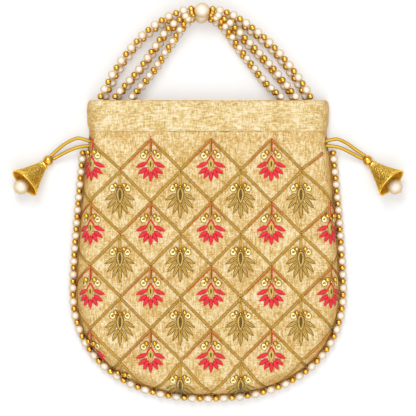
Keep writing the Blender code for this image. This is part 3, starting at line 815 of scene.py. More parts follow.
def panel_grid(name, outline):
    """A grid whose rows end on the outline, and whose last row closes at the bottom."""
    deselect()
    bpy.ops.mesh.primitive_grid_add(x_subdivisions=PANEL_COLUMNS, y_subdivisions=PANEL_ROWS, size=2)
    piece = active_piece(name)
    for vert in piece.data.vertices:
        row = round((1 - vert.co.y) / 2 * PANEL_ROWS)
        end = outline[row]
        vert.co = Vector((vert.co.x * end.x, end.y, 0))
    return piece


def cut_top(line, top_y):
    return [point for point in line if point.y < top_y]


def make_front_panel():
    outline = shift_out(SEAM, EDGE_ARC - EDGE_ROUND)[0]
    outline = cut_top(evenly(outline, 0.5), TUCK_TOP_Y)
    outline[0].y = TUCK_TOP_Y
    outline = evenly(outline, lengths_along(outline)[-1] / PANEL_ROWS)
    outline[-1].x = 0.0
    panel = panel_grid("front_panel_cloth", outline)
    for vert in panel.data.vertices:
        vert.co = on_bag(vert.co.x, vert.co.y) * MM
    merge_doubles(panel, PANEL_MERGE)
    bm = bmesh.new()
    bm.from_mesh(panel.data)
    hole = [face for face in bm.faces if in_slit(face.calc_center_median() / MM)]
    bmesh.ops.delete(bm, geom=hole, context="FACES")
    bm.to_mesh(panel.data)
    bm.free()
    add_wall(panel, CLOTH)
    panel.data.shade_smooth()
    panel.data.materials.append(BROCADE)
    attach(panel, "bag")
    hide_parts("front_panel")


def near_slit(point):
    """Where the drawstring's ends sweep over the cloth as a tassel swings."""
    return (abs(point.x) > SLIT_LOW[0] - 3 and SLIT_LOW[1] - 3 < point.y < SLIT_HIGH[1] + 2.5
            and point.z < TOP_Z - 1.5)


def in_slit(point):
    return (SLIT_LOW[0] < abs(point.x) < SLIT_HIGH[0] and SLIT_LOW[1] < point.y < SLIT_HIGH[1]
            and point.z < SLIT_TOP_Z)


def make_back_panel():
    outline = cut_top(evenly(SEAM, 0.5), PANEL_TOP_Y)
    outline[0].y = PANEL_TOP_Y
    outline = evenly(outline, lengths_along(outline)[-1] / PANEL_ROWS)
    outline[-1].x = 0.0
    panel = panel_grid("back_panel_cloth", outline)
    for vert in panel.data.vertices:
        x, y = vert.co.x, vert.co.y
        held = 1 - blend((past_flat(x, y)[0] + 6) / 12)
        dent = 0.35 + 0.3 * noise.fractal(Vector((x * 0.06, y * 0.04, 11.7)), 0.9, 2.0, 3)
        vert.co = Vector((x, y, CLOTH + held * max(dent, 0.0))) * MM
    merge_doubles(panel, PANEL_MERGE)
    add_wall(panel, CLOTH)
    panel.data.shade_smooth()
    panel.data.materials.append(PLAIN_SILK)
    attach(panel, "bag")
    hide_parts("back_panel")


HEM_COLUMNS = 220
HEM_ROWS = 36
HEM_STATIONS = ((0.0, 0.0), (0.3, 0.8), (0.7, 1.0), (0.92, 0.75), (1.0, 0.1))


def hem_half_width(share):
    for (low, low_bow), (high, high_bow) in zip(HEM_STATIONS, HEM_STATIONS[1:]):
        if share <= high:
            bow = low_bow + (high_bow - low_bow) * blend((share - low) / (high - low))
            return SHOULDER_HALF_WIDTH + HEM_BOW * bow
    return SHOULDER_HALF_WIDTH


def hem_relief(x, y):
    """Creases that fan out from the drawn ends of the band, over soft waves across it."""
    end = blend((abs(x) - 55) / 30)
    waves = 0.5 * noise.fractal(Vector((x * 0.03, y * 0.13, 5.2)), 0.9, 2.0, 3)
    creases = 0.5 * end * math.sin(y * 0.9 + 1.6 * math.sin(x * 0.09) + (0.4 if x > 0 else 1.7))
    slub = 0.12 * noise.noise(Vector((x * 0.1, y * 0.9, 2.4)))
    near = blend((y - HEM_LOW_Y) / 5)
    return near * (waves + creases + slub) + (1 - near) * JOIN_LIFT


def make_front_hem():
    """The front half of the band, bent over the rounded ends and folded in at its top."""
    deselect()
    bpy.ops.mesh.primitive_grid_add(x_subdivisions=HEM_COLUMNS, y_subdivisions=HEM_ROWS, size=2)
    hem = active_piece("front_hem_cloth")
    for vert in hem.data.vertices:
        across, share = vert.co.x, (vert.co.y + 1) / 2
        half = hem_half_width(share)
        flat_half = half - EDGE_ROUND
        reach = abs(across) * (flat_half + EDGE_ARC)
        y = HEM_LOW_Y + (HEM_TOP_Y - HEM_LOW_Y) * share
        fold = blend((share - 0.93) / 0.07)
        angle = min(max(reach - flat_half, 0.0) / EDGE_ARC, 1.0) * math.pi / 2
        x = min(reach, flat_half) + EDGE_ROUND * math.sin(angle)
        z = SEAM_Z + RISE * math.cos(angle)
        held = 1 - blend(angle / 1.5)
        x = math.copysign(x, across)
        tuck = blend(1 - share / 0.08)
        z += held * (hem_relief(x, y) - HEM_FOLD * fold - HEM_TUCK * tuck)
        vert.co = Vector((x, y, z)) * MM
    add_wall(hem, CLOTH)
    hem.data.shade_smooth()
    hem.data.materials.append(PLAIN_SILK)
    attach(hem, "bag")
    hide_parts("front_hem")


def make_back_hem():
    """The back half of the band, which lies flat with a faint dent."""
    deselect()
    bpy.ops.mesh.primitive_grid_add(x_subdivisions=120, y_subdivisions=20, size=2)
    back = active_piece("back_hem_cloth")
    for vert in back.data.vertices:
        share = (vert.co.y + 1) / 2
        x = vert.co.x * hem_half_width(share)
        y = HEM_LOW_Y + (HEM_TOP_Y - HEM_LOW_Y) * share
        held = blend((1 - abs(vert.co.x)) * 8) * blend(share * 8) * blend((1 - share) * 8)
        dent = 0.3 + 0.25 * noise.fractal(Vector((x * 0.05, y * 0.12, 14.3)), 0.9, 2.0, 3)
        vert.co = Vector((x, y, CLOTH + held * max(dent, 0.0))) * MM
    add_wall(back, CLOTH)
    back.data.shade_smooth()
    back.data.materials.append(PLAIN_SILK)
    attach(back, "bag")
    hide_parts("back_hem")


# Embroidery

EDGE_STOP = EDGE_ARC - 0.6


def inside_cloth(point):
    """Whether a point of the flat cloth may carry thread: on the panel and clear of its slits."""
    past = past_flat(point.x, point.y)[0]
    return (past < EDGE_STOP and point.y < PANEL_TOP_Y - 1
            and not near_slit(on_bag(point.x, point.y)))


def offset_line(points, distance, height):
    """A line laid on the bag beside the drawn one, cut where it would leave the cloth."""
    runs, run = [], []
    for i, point in enumerate(points):
        along = (points[min(i + 1, len(points) - 1)] - points[max(i - 1, 0)]).normalized()
        side = point + Vector((-along.y, along.x, 0)) * distance
        if inside_cloth(side):
            run.append(on_bag(side.x, side.y, height))
        elif run:
            runs.append(run)
            run = []
    if run:
        runs.append(run)
    return [run for run in runs if len(run) > 2]


def lattice_run(j):
    """One couched run across the bag, up to the corners of a row and down to those of the next.

    With each point goes the corner it comes from and its share of the way to the next corner."""
    corners = []
    for i in range(-LATTICE_REACH, LATTICE_REACH + 1):
        high = (i + j) % 2 == 0
        x = LATTICE_X + i * DIAMOND_WIDTH / 2
        y = LATTICE_TOP_Y - (j if high else j + 1) * DIAMOND_HEIGHT / 2
        corners.append((i, to_cloth(x, y + (-CORNER_GAP if high else CORNER_GAP))))
    points, marks = [], []
    for (i, a), (n, b) in zip(corners, corners[1:]):
        steps = max(int((b - a).length / STITCH_STEP), 4)
        points += [a.lerp(b, k / steps) for k in range(steps)]
        marks += [(i, k / steps) for k in range(steps)]
    for turn in range(2):
        rounded = [(a + 2 * b + c) / 4 for a, b, c in zip(points, points[1:], points[2:])]
        points = [points[0]] + rounded + [points[-1]]
    return points, marks


def make_lattice():
    """Each run is a pair of gold cords with a dark thread on both sides, partly outline thread and
    partly painted shade beside the raised cords. In every other row a red thread follows the run
    round the upper corners, for a length that varies."""
    gold, edges, red = [], [], []
    rng = random.Random(7)
    for j in range(LATTICE_ROWS):
        points, marks = lattice_run(j)
        for side in (-1, 1):
            gold += offset_line(points, side * COUCHED_APART, COUCHED_LIFT)
            edges += offset_line(points, side * EDGE_APART, EDGE_LIFT)
        if j % 2:
            continue
        for top in range(1 - LATTICE_REACH, LATTICE_REACH, 2):
            left, right = rng.uniform(0.75, 1.0), rng.uniform(0.2, 0.55)
            near = [point for point, (i, share) in zip(points, marks)
                    if (i == top - 1 and share > 1 - left) or (i == top and share < right)]
            if near:
                red += offset_line(near, -RED_LINE_LOW, RED_LINE_LIFT)
    lattice = tube_from("couched_lattice", gold, COUCHED_R, COUCHED_GOLD)
    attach(lattice, "bag")
    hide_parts("embroidery")
    # Dark edge threads: partly outline thread and partly painted shade beside the raised cords
    edge = tube_from("couched_edges", edges, EDGE_R, COUCHED_EDGE)
    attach(edge, "bag")
    lines = tube_from("red_lattice_thread", red, RED_LINE_R, RUST_THREAD)
    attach(lines, "bag")


def petal_shape(name, segments, rings, tip_power, rise):
    """A padded petal 1 mm long up Y from its root, 1 mm wide and domed over the cloth."""
    shape = sphere_shape(name, segments, rings)
    for vert in shape.data.vertices:
        along = (vert.co.z / MM + 1) / 2
        width = math.sin(math.pi * along ** tip_power) ** 0.75 if 0 < along < 1 else 0.0
        ring = math.hypot(vert.co.x, vert.co.y) / MM
        angle = math.atan2(vert.co.y, vert.co.x)
        across = math.cos(angle) * width * 0.5 * (ring > 1e-4)
        lift = math.sin(angle) * width * rise * (ring > 1e-4)
        vert.co = Vector((across, along, lift)) * MM
    face_outwards(shape)
    return shape


def from_to(root, tip, width, thick, height=0.0):
    """Stands a petal shape on its root, pointing at its tip."""
    root, tip = Vector((*root, 0)), Vector((*tip, 0))
    along = tip - root
    turn = Matrix.Rotation(math.atan2(along.y, along.x) - math.pi / 2, 4, "Z")
    size = Matrix.Diagonal((width, along.length, thick, 1))
    return to_point(root + Vector((0, 0, height))) @ turn @ size


PETALS = [((2.3, -18.0), (11.1, -21.8)), ((2.4, -21.8), (9.4, -26.8)), ((1.5, -23.2), (5.5, -30.4))]
LAST_PETAL = ((0.0, -24.4), (0.0, -32.5))
FINGERS = [((2.2, -17.4), (11.3, -22.6)), ((2.3, -20.4), (9.8, -28.8)), ((1.4, -23.4), (5.6, -32.8))]
LAST_FINGER = ((0.0, -24.8), (0.0, -36.6))


def mirrored(pairs):
    return pairs + [((-a[0], a[1]), (-b[0], b[1])) for a, b in pairs]


def ball_at(x, y, z, radius):
    return to_point((x, y, z)) @ Matrix.Scale(radius, 4)


def stem_line(x, low):
    return [Vector((x, low * i / 8, COUCHED_LIFT)) for i in range(9)]


def flower_shapes(ball, petal, ring):
    """The red lotus, modelled flat with its stem's top at the origin."""
    petals = [(petal, from_to(root, tip, PETAL_WIDTH, PETAL_RISE, 0.25), 0)
              for root, tip in mirrored(PETALS) + [LAST_PETAL]]
    threads = [(petal, from_to((0, -12.4), (x, -20.2), 0.9, 0.5, 0.2), 0)
               for x in (-4.4, -2.4, 2.4, 4.4)]
    leaf = [(petal, from_to((0.0, -14.4), (0.0, -24.4), 4.9, 0.9, 0.2), 0)]
    heart = [(petal, from_to((0.0, -17.2), (0.0, -21.6), 1.3, 0.5, 0.95), 0)]
    balls = [(ball, ball_at(side * 3.2, -10.4, 1.6, MOTIF_BALL_R), 0) for side in (-1, 1)]
    balls += [(ball, ball_at(0, -12.2, 0.9, MOTIF_SEED_R), 0)]
    sequins = [(ring, ball_at(side * 5.4, -13.0, 0.75, 1.0), 0) for side in (-1, 1)]
    return {"petals": joined_copies("petals", petals + threads, PETAL_RED),
            "leaf": joined_copies("leaf", leaf, LEAF_GOLD),
            "heart": joined_copies("heart", heart, BROWN_THREAD),
            "balls": joined_copies("balls", balls, BEAD_GOLD),
            "sequins": joined_copies("sequins", sequins, SEQUIN_GOLD),
            "red_stem": tube_from("red_stem", [stem_line(STEM_R, -10.0)], STEM_R, PETAL_RED),
            "gold_stem": tube_from("gold_stem", [stem_line(-STEM_R, -10.4)], STEM_R, COUCHED_GOLD)}


def finger_ribs(petal, rib, root, tip):
    """A long finger of two couched ribs on a dark base that shows between and around them."""
    root, tip = Vector((*root, 0)), Vector((*tip, 0))
    along = tip - root
    across = Vector((-along.y, along.x, 0)).normalized()
    ribs = [(petal, from_to(root.xy, tip.xy, FINGER_WIDTH, 0.4, 0.15), 1)]
    for side in (-1, 1):
        start = root + across * side * 0.55
        end = root + along * 0.9 + across * side * 0.5
        ribs.append((rib, from_to(start.xy, end.xy, RIB_WIDTH, RIB_RISE, 0.35), 0))
    return ribs


def leaf_shapes(ball, petal, rib, ring):
    """The gold leaf: seven ribbed fingers below a drop with a dark heart."""
    ribs = []
    for root, tip in mirrored(FINGERS) + [LAST_FINGER]:
        ribs += finger_ribs(petal, rib, root, tip)
    drop = [(petal, from_to((0.0, -13.0), (0.0, -24.6), 5.5, 0.8, 0.3), 0),
            (petal, from_to((0.0, -11.4), (0.0, -25.6), 6.9, 0.5, 0.15), 1)]
    heart = [(petal, from_to((0.0, -14.2), (0.0, -23.0), 2.9, 0.5, 0.75), 0)]
    balls = [(ball, ball_at(side * 3.3, -11.3, 1.6, MOTIF_BALL_R), 0) for side in (-1, 1)]
    balls += [(ball, ball_at(0, -12.4, 0.9, MOTIF_SEED_R), 0)]
    sequins = [(ring, ball_at(side * 5.6, -13.6, 0.75, 1.0), 0) for side in (-1, 1)]
    stems = [stem_line(side * STEM_R, -11.6) for side in (-1, 1)]
    return {"ribs": joined_copies("ribs", ribs + drop, LEAF_GOLD, COUCHED_EDGE),
            "heart": joined_copies("heart", heart, BROWN_THREAD),
            "balls": joined_copies("balls", balls, BEAD_GOLD),
            "sequins": joined_copies("sequins", sequins, SEQUIN_GOLD),
            "gold_stem": tube_from("gold_stem", stems, STEM_R, COUCHED_GOLD)}


def motif_places(half_step):
    """The top corners of the diamonds that hold a motif, on the flat cloth.

    A motif is placed by its middle. It moves in a little at the sides, and one that lies mostly
    over the edge is placed by its top."""
    for row in range(4):
        for column in range(-3, 4):
            i, j = 2 * column + half_step, 2 * row + half_step
            x = LATTICE_X + i * DIAMOND_WIDTH / 2
            y = LATTICE_TOP_Y - j * DIAMOND_HEIGHT / 2
            if past_flat(x, y - 6)[0] >= EDGE_ROUND - 1:
                continue
            past, way = past_flat(x, y - MOTIF_MIDDLE)
            if past > 0.8 * EDGE_ROUND:
                yield to_cloth(x, y)
                continue
            inward = way * (MOTIF_INWARD * min(max(past, 0.0), EDGE_ROUND))
            x -= inward.x if abs(way.x) > 0.9 else 0.0
            yield to_cloth(x, y - MOTIF_MIDDLE) + Vector((0, MOTIF_MIDDLE, 0))


def scatter(name, shape, places, materials):
    """Copies a motif's shape to its places, bends it over the bag there and joins the copies."""
    placed = []
    for place in places:
        copy = bpy.data.objects.new(shape.name, shape.data.copy())
        seat_on_bag(copy, place.x, place.y)
        placed.append((copy, Matrix(), None))
    piece = joined_copies(name, placed, *materials)
    drop_shapes(*[copy for copy, matrix, number in placed])
    trim_past_seam(piece)
    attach(piece, "bag")


def open_edges(bm):
    return [edge for edge in bm.edges if edge.is_boundary]


def trim_past_seam(piece):
    """Takes away what lies against the seam, behind the pearls, and closes what that cuts open."""
    bm = bmesh.new()
    bm.from_mesh(piece.data)
    low = [vert for vert in bm.verts if vert.co.z < (SEAM_Z + 1.0) * MM]
    bmesh.ops.delete(bm, geom=low, context="VERTS")
    lone = [face for face in bm.faces if all(edge.is_boundary for edge in face.edges)]
    bmesh.ops.delete(bm, geom=lone, context="FACES")
    bmesh.ops.holes_fill(bm, edges=open_edges(bm), sides=0)
    bmesh.ops.edgeloop_fill(bm, edges=open_edges(bm))
    bmesh.ops.recalc_face_normals(bm, faces=bm.faces[:])
    bm.to_mesh(piece.data)
    bm.free()


def make_motifs():
    """Red flowers in every other row of diamonds and gold leaves in the rows between."""
    ball = sphere_shape("ball", 14, 8)
    petal = petal_shape("petal", 10, 9, 0.85, 1.0)
    deselect()
    bpy.ops.mesh.primitive_torus_add(major_segments=20, minor_segments=8,
                                     major_radius=SEQUIN_R * MM,
                                     minor_radius=SEQUIN_WIRE_R * MM)
    ring = active_piece("sequin")
    ring.data.transform(Matrix.Diagonal((1.0, 1.0, 0.6, 1.0)))
    flower = flower_shapes(ball, petal, ring)
    rib = petal_shape("rib", 6, 7, 1.0, 1.0)
    leaf = leaf_shapes(ball, petal, rib, ring)
    red_places = list(motif_places(0))
    gold_places = [place - Vector((0.4, 0, 0)) for place in motif_places(1)]
    scatter("red_petals", flower["petals"], red_places, [PETAL_RED])
    scatter("red_stems", flower["red_stem"], red_places, [PETAL_RED])
    scatter("flower_leaves", flower["leaf"], red_places, [LEAF_GOLD])
    scatter("flower_hearts", flower["heart"], red_places, [BROWN_THREAD])
    scatter("flower_stems", flower["gold_stem"], red_places, [COUCHED_GOLD])
    scatter("flower_balls", flower["balls"], red_places, [BEAD_GOLD])
    scatter("flower_sequins", flower["sequins"], red_places, [SEQUIN_GOLD])
    scatter("gold_leaves", leaf["ribs"], gold_places, [LEAF_GOLD, COUCHED_EDGE])
    scatter("leaf_hearts", leaf["heart"], gold_places, [BROWN_THREAD])
    scatter("leaf_stems", leaf["gold_stem"], gold_places, [COUCHED_GOLD])
    scatter("leaf_balls", leaf["balls"], gold_places, [BEAD_GOLD])
    scatter("leaf_sequins", leaf["sequins"], gold_places, [SEQUIN_GOLD])
    drop_shapes(ball, petal, rib, ring, *flower.values(), *leaf.values())


def make_knots():
    """Where two couched runs meet, a dark knot below the corner and a red one above it."""
    ball = sphere_shape("knot", 8, 6)
    dark = joined_copies("dark", [(ball, ball_at(0, -1.3, 0.35, 0.75), 0)], BROWN_THREAD)
    red = joined_copies("red", [(ball, ball_at(0, 1.5, 0.5, 0.6), 0)], PETAL_RED)
    places = []
    for j in range(LATTICE_ROWS):
        for i in range(1 - LATTICE_REACH + j % 2, LATTICE_REACH, 2):
            place = to_cloth(LATTICE_X + i * DIAMOND_WIDTH / 2, LATTICE_TOP_Y - j * DIAMOND_HEIGHT / 2)
            if all(inside_cloth(place + Vector((0, step, 0))) for step in (0, 2, -2)):
                places.append(place)
    scatter("dark_corner_knots", dark, places, [BROWN_THREAD])
    scatter("red_corner_knots", red, places[::3], [PETAL_RED])
    drop_shapes(ball, dark, red)


def make_welt():
    """The rolled edge of cloth in the seam that the pearls are sewn against, dark brown for the painted
    shadow line between the cloth and the pearls.
    """
    out = shift_out(right_seam(WELT_TOP_Y), WELT_OUT)[0]
    line = [Vector((-point.x, point.y, 0)) for point in out] + out[-2::-1]
    line = [point + Vector((0, 0, WELT_Z)) for point in evenly(line, 1.5)]
    welt = tube_from("seam_welt", [line], WELT_R, WELT_SHADE_SILK, 2)
    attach(welt, "bag")


def make_hem_stitches():
    """Short dark stitches that show here and there along the band's lower edge."""
    stitch = petal_shape("stitch", 6, 5, 1.0, 1.0)
    z = TOP_Z + JOIN_LIFT - 0.05
    rng = random.Random(4)
    placed = []
    for i in range(-14, 18):
        x = i * 2.3 + rng.uniform(-0.2, 0.2)
        if rng.random() < 0.4:
            continue
        root, tip = (x - 0.55, HEM_LOW_Y - 0.3), (x + 0.55, HEM_LOW_Y - 0.2)
        placed.append((stitch, from_to(root, tip, 0.55, 0.4, z), 0))
    piece = joined_copies("hem_stitches", placed, COUCHED_EDGE)
    drop_shapes(stitch)
    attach(piece, "bag")


# Beads

def bead_shapes():
    pearl = sphere_shape("pearl_bead", 12, 8)
    gold = sphere_shape("gold_bead", 12, 8)
    return pearl, gold


def along_line(line, lengths, distance, across, along):
    """A bead on its thread: its poles lie along the line."""
    spot = point_at(line, lengths, distance)
    ahead = point_at(line, lengths, min(distance + 0.5, lengths[-1]))
    back = point_at(line, lengths, max(distance - 0.5, 0.0))
    size = Matrix.Diagonal((across, across, along, 1))
    return stood_along(spot, (ahead - back).normalized(), (0, 0, 1)) @ size


def string_beads(name, line, beads, body, node, shapes):
    """Beads on a thread. Each has its place along the line, its radius across, its half length
    along and 0 for pearl or 1 for gold."""
    lengths = lengths_along(line)
    placed = [(shapes[kind], along_line(line, lengths, distance, across, along), kind)
              for distance, across, along, kind in beads]
    last = lengths[-1]
    steps = THREAD_STEPS
    thread_line = [point_at(line, lengths, last * i / steps) for i in range(steps + 1)]
    thread = tube_from("thread", [thread_line], THREAD_R, BEAD_GOLD)
    placed.append((thread, Matrix(), 1))
    piece = joined_copies(name, placed, PEARL, BEAD_GOLD)
    drop_shapes(thread)
    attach(piece, body)
    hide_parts(node)


def make_piping(shapes):
    """Gold beads and pearls by turns round the seam, larger round the bottom than up the sides."""
    out = shift_out(right_seam(PIPING_TOP_Y), PEARL_R + BEAD_GAP)[0]
    left = [Vector((-point.x, point.y, 0)) for point in out]
    line = left + out[-2::-1]
    line = [point + Vector((0, 0, PIPING_Z)) for point in line]
    count = 2 * PIPING_PAIRS
    swells = [1 + BEAD_SWELL * blend((0.37 - abs(i / count - 0.5)) / 0.29) for i in range(count + 1)]
    steps = [(a + b) / 2 for a, b in zip(swells, swells[1:])]
    pitch = lengths_along(line)[-1] / sum(steps)
    beads = []
    for i, swell in enumerate(swells):
        gold = (i + 1) % 2
        across, along = (GOLD_R + 0.25, 0.43) if gold else (PEARL_R + 0.1, 0.575)
        beads.append((sum(steps[:i]) * pitch, across, along * pitch * swell, gold))
    string_beads("seam_pearls", line, beads, "bag", "pearl_piping", shapes)


def apex_of(front):
    """Where a handle's big pearl lies: the back one's on the table, the front one's against it."""
    low = HANDLE_PEARL_R + 0.1
    if not front:
        return Vector((*BACK_APEX, low))
    reach = 2 * HANDLE_PEARL_R + BEAD_GAP
    rise = math.sqrt(reach ** 2 - math.dist(FRONT_APEX, BACK_APEX) ** 2)
    return Vector((*FRONT_APEX, low + rise))


def strand_line(place, sizes, front):
    """A strand's line from the band up to the big pearl, with the strands in layers under it."""
    route = STRAND_ROUTES[place]
    apex = apex_of(front)
    flat_z = HANDLE_FLAT_Z + (FRONT_LIFT if front else 0)
    hem_z = FRONT_HEM_Z if front else BACK_HEM_Z
    layer = sizes["layer"] * (FRONT_LAYER if front else BACK_LAYER)
    shift = Vector((BACK_APEX[0] - FRONT_APEX[0], BACK_APEX[1] - FRONT_APEX[1], 0))
    side = math.copysign(1, route[0][0])
    line = []
    for point in smooth_points([(x, y, 0) for x, y in route]):
        share = point.y / route[-1][1]
        spot = Vector((point.x, HANDLE_HEM_Y + point.y, 0))
        if not front:
            spot += shift * share - Vector((side * sizes["back_shift"] * (1 - share), 0, 0))
        gap = (spot - Vector((apex.x, apex.y, 0))).length
        rise = (apex.z - flat_z) * blend(1 - gap / HANDLE_RISE)
        drop = layer * blend(1 - gap / LAYERS_REACH)
        spot.z = flat_z + rise + (hem_z - flat_z) * blend(1 - point.y / HANDLE_FALL) - drop
        line.append(spot)
    inward = (apex - line[-1]).normalized()
    return line + [apex - inward * (HANDLE_PEARL_R + BEAD_GAP)]


def make_handles(shapes):
    for prefix, front in (("front", True), ("back", False)):
        for place in STRAND_ROUTES:
            sizes = STRAND_BEADS[place.split("_")[1]]
            line = strand_line(place, sizes, front)
            beads = []
            count = STRAND_COUNTS[place]
            first = lengths_along(line)[-1] - sizes["gold"] + BEAD_GAP
            for i in range(count):
                kind = (i + 1) % 2 if front else (count - 1 - i) % 2
                radius = sizes["gold"] if kind else sizes["pearl"]
                beads.append((first * (1 - i / (count - 1)), radius, radius, kind))
            string_beads(f"{prefix}_{place}_beads", line, beads, f"{prefix}_handle",
                         f"{prefix}_strand_{place}", shapes)
        ball = sphere_shape(f"{prefix}_big_pearl", 40, 24)
        ball.data.transform(to_point(apex_of(front)) @ Matrix.Rotation(math.pi / 2, 4, "Y")
                            @ Matrix.Scale(HANDLE_PEARL_R, 4))
        ball.data.materials.append(PEARL)
        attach(ball, f"{prefix}_handle")
        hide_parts(f"{prefix}_handle_pearl")


# Tassels

def turned(name, profile, steps, material):
    """A profile of radius and height, spun about Z by hand and closed."""
    deselect()
    bpy.ops.mesh.primitive_plane_add(size=0.001)
    piece = active_piece(name)
    bpy.ops.object.mode_set(mode="EDIT")
    bpy.ops.mesh.select_all(action="SELECT")
    bpy.ops.mesh.delete(type="VERT")
    bm = bmesh.from_edit_mesh(piece.data)
    verts = [bm.verts.new((radius * MM, 0, height * MM)) for radius, height in profile]
    for a, b in zip(verts, verts[1:]):
        bm.edges.new((a, b))
    bmesh.update_edit_mesh(piece.data)
    bpy.ops.mesh.select_all(action="SELECT")
    bpy.ops.mesh.spin(steps=steps, angle=math.tau, center=(0, 0, 0), axis=(0, 0, 1))
    bpy.ops.mesh.select_all(action="SELECT")
    bpy.ops.mesh.remove_doubles(threshold=1e-6)
    bpy.ops.mesh.normals_make_consistent(inside=False)
    bpy.ops.object.mode_set(mode="OBJECT")
    piece.data.shade_smooth()
    piece.data.materials.append(material)
    return piece


def bell_radius(share):
    """Outside radius down the bell: collar, waist, flare."""
    flare = BELL_RIM_R - BELL_TOP_R
    spots = [(0.1, -0.3), (0.27, 0.15 * flare), (0.55, 0.44 * flare), (0.8, 0.75 * flare),
             (0.95, flare - 0.6)]
    if share <= spots[0][0]:
        return BELL_TOP_R + spots[0][1]
    for (low, a), (high, b) in zip(spots, spots[1:]):
        if share <= high:
            return BELL_TOP_R + a + (b - a) * (share - low) / (high - low)
    return BELL_RIM_R - 0.6


def bell_profile():
    """The bell's wall, down its outside, round the rolled rim and up its inside to the pin's hole."""
    outside = [(BELL_TOP_R - 0.9, 0.0), (BELL_TOP_R - 0.2, -0.25), (BELL_TOP_R, -0.9),
               (BELL_TOP_R - 0.15, -1.6), (BELL_TOP_R - 0.5, -2.2)]
    flank = [0.1 + 0.85 * i / 60 for i in range(1, 61)]
    outside += [(bell_radius(share), -BELL_LENGTH * share) for share in flank]
    rim = [(BELL_RIM_R - 0.15, -BELL_LENGTH + 0.9), (BELL_RIM_R, -BELL_LENGTH + 0.5),
           (BELL_RIM_R - 0.15, -BELL_LENGTH + 0.12), (BELL_RIM_R - 0.5, -BELL_LENGTH),
           (BELL_RIM_R - 1.1, -BELL_LENGTH + 0.05), (BELL_RIM_R - 1.5, -BELL_LENGTH + 0.5)]
    inside = [(bell_radius(share) - BELL_WALL, -BELL_LENGTH * share)
              for share in (0.88, 0.8, 0.68, 0.55, 0.41, 0.27, 0.16)]
    inside += [(BELL_TOP_R - 0.5 - BELL_WALL, -2.4), (PIN_R + 0.3, -2.2), (PIN_R + 0.3, 0.0)]
    return outside + rim + inside + [outside[0]]


def filigree(turn, share):
    """The bell's relief from 0 to 1: rows of rosettes in rings between two beaded bands."""
    if share < 0.1 or share > 0.94:
        return 0.85
    if share < 0.17:
        return 0.25 + 0.75 * abs(math.sin(9 * turn))
    if share > 0.86:
        return 0.25 + 0.75 * abs(math.sin(18 * turn))
    row = (share - 0.17) / 0.69 * 3
    across = (turn / math.tau * 9 + 0.5 * (int(row) % 2)) % 1 - 0.5
    down = row % 1 - 0.5
    reach = 2 * math.hypot(across, down)
    petals = math.cos(3 * math.atan2(down, across)) ** 2 * max(1.15 - reach, 0.0)
    petals += max(0.5 - 1.6 * reach, 0.0)
    ring = math.exp(-((reach - 0.98) / 0.13) ** 2)
    return min(max(petals, 0.9 * ring), 1.0)


def half_round(radius, first, last):
    """Points of a ball's profile between two angles from its pole."""
    angles = [math.radians(angle) for angle in range(first, last, 8)]
    return [(radius * math.sin(angle), radius * math.cos(angle)) for angle in angles]


def make_ball(side, place, axis):
    profile = [(0.0, BALL_R * 0.9)] + half_round(BALL_R, 14, 167) + [(0.0, -BALL_R * 0.92)]
    ball = turned(f"{side}_ball_bead", profile, 36, BEAD_GOLD)
    ball.data.transform(stood_along(place, axis))
    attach(ball, f"{side}_tassel")
    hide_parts(f"{side}_ball")
    return ball


def make_bell(side, neck, axis):
    """The turned bell with its relief pressed out of it and kept as an attribute."""
    bell = turned(f"{side}_filigree_bell", bell_profile(), 126, BELL_GOLD)
    relief = bell.data.attributes.new("relief", "FLOAT", "POINT")
    for vert in bell.data.vertices:
        # The relief value also sets the painted shade in the material; the inside wall gets 0.5, a little
        # of it
        relief.data[vert.index].value = 0.5
        radius = math.hypot(vert.co.x, vert.co.y) / MM
        share = -vert.co.z / MM / BELL_LENGTH
        if radius > bell_radius(share) - 0.3 and radius > 1:
            height = filigree(math.atan2(vert.co.y, vert.co.x), share)
            relief.data[vert.index].value = height
            grow = 1 + BELL_RELIEF * (height - 0.85) / radius
            vert.co = Vector((vert.co.x * grow, vert.co.y * grow, vert.co.z))
    bell.data.transform(stood_along(neck, axis))
    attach(bell, f"{side}_tassel")
    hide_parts(f"{side}_bell")
    return bell


def make_drop_pearl(side, neck, axis):
    """The pearl in the bell's mouth, on a pin up into the bell, low because it hangs loose."""
    up = (Vector((0, 0, 1)) - axis * axis.z).normalized()
    centre = neck + axis * (BELL_LENGTH + DROP_OUT) - up * DROP_SINK
    pin_end = neck + axis * PIN_TOP
    reach = (centre - pin_end).length
    profile = [(0.0, reach), (PIN_R, reach), (PIN_R, DROP_PEARL_R + 0.05), (0.9, DROP_PEARL_R)]
    profile += half_round(DROP_PEARL_R, 12, 169)
    profile += [(0.9, -DROP_PEARL_R - 0.05), (0.7, -DROP_PEARL_R - 0.5), (0.0, -DROP_PEARL_R - 0.8)]
    drop = turned(f"{side}_drop_pearl_bead", profile, 40, PEARL)
    drop.data.transform(stood_along(centre, (pin_end - centre).normalized(), (0, 0, 1)))
    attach(drop, f"{side}_tassel")
    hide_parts(f"{side}_drop_pearl")
    return drop


def make_tassel(side, sign):
    """Two cords to a ball, with a bell below it that lies tilted on its rim."""
    turn, tilt = math.radians(BELL_TURN), math.radians(BELL_TILT)
    across = sign * math.cos(turn) * math.cos(tilt)
    axis = Vector((across, -math.sin(turn) * math.cos(tilt), math.sin(tilt)))
    ball_place = Vector((sign * BALL_X, BALL_Y, BALL_Z))
    neck = ball_place + axis * (BALL_R + BELL_GAP)
    neck.z = BELL_RIM_R * math.cos(tilt) + 0.1 - BELL_LENGTH * math.sin(tilt)
    on_it = [make_ball(side, ball_place, axis), make_bell(side, neck, axis),
             make_drop_pearl(side, neck, axis)]
    for place, angle in CORD_END_ANGLES.items():
        make_cord(side, sign, place, math.radians(angle), ball_place)


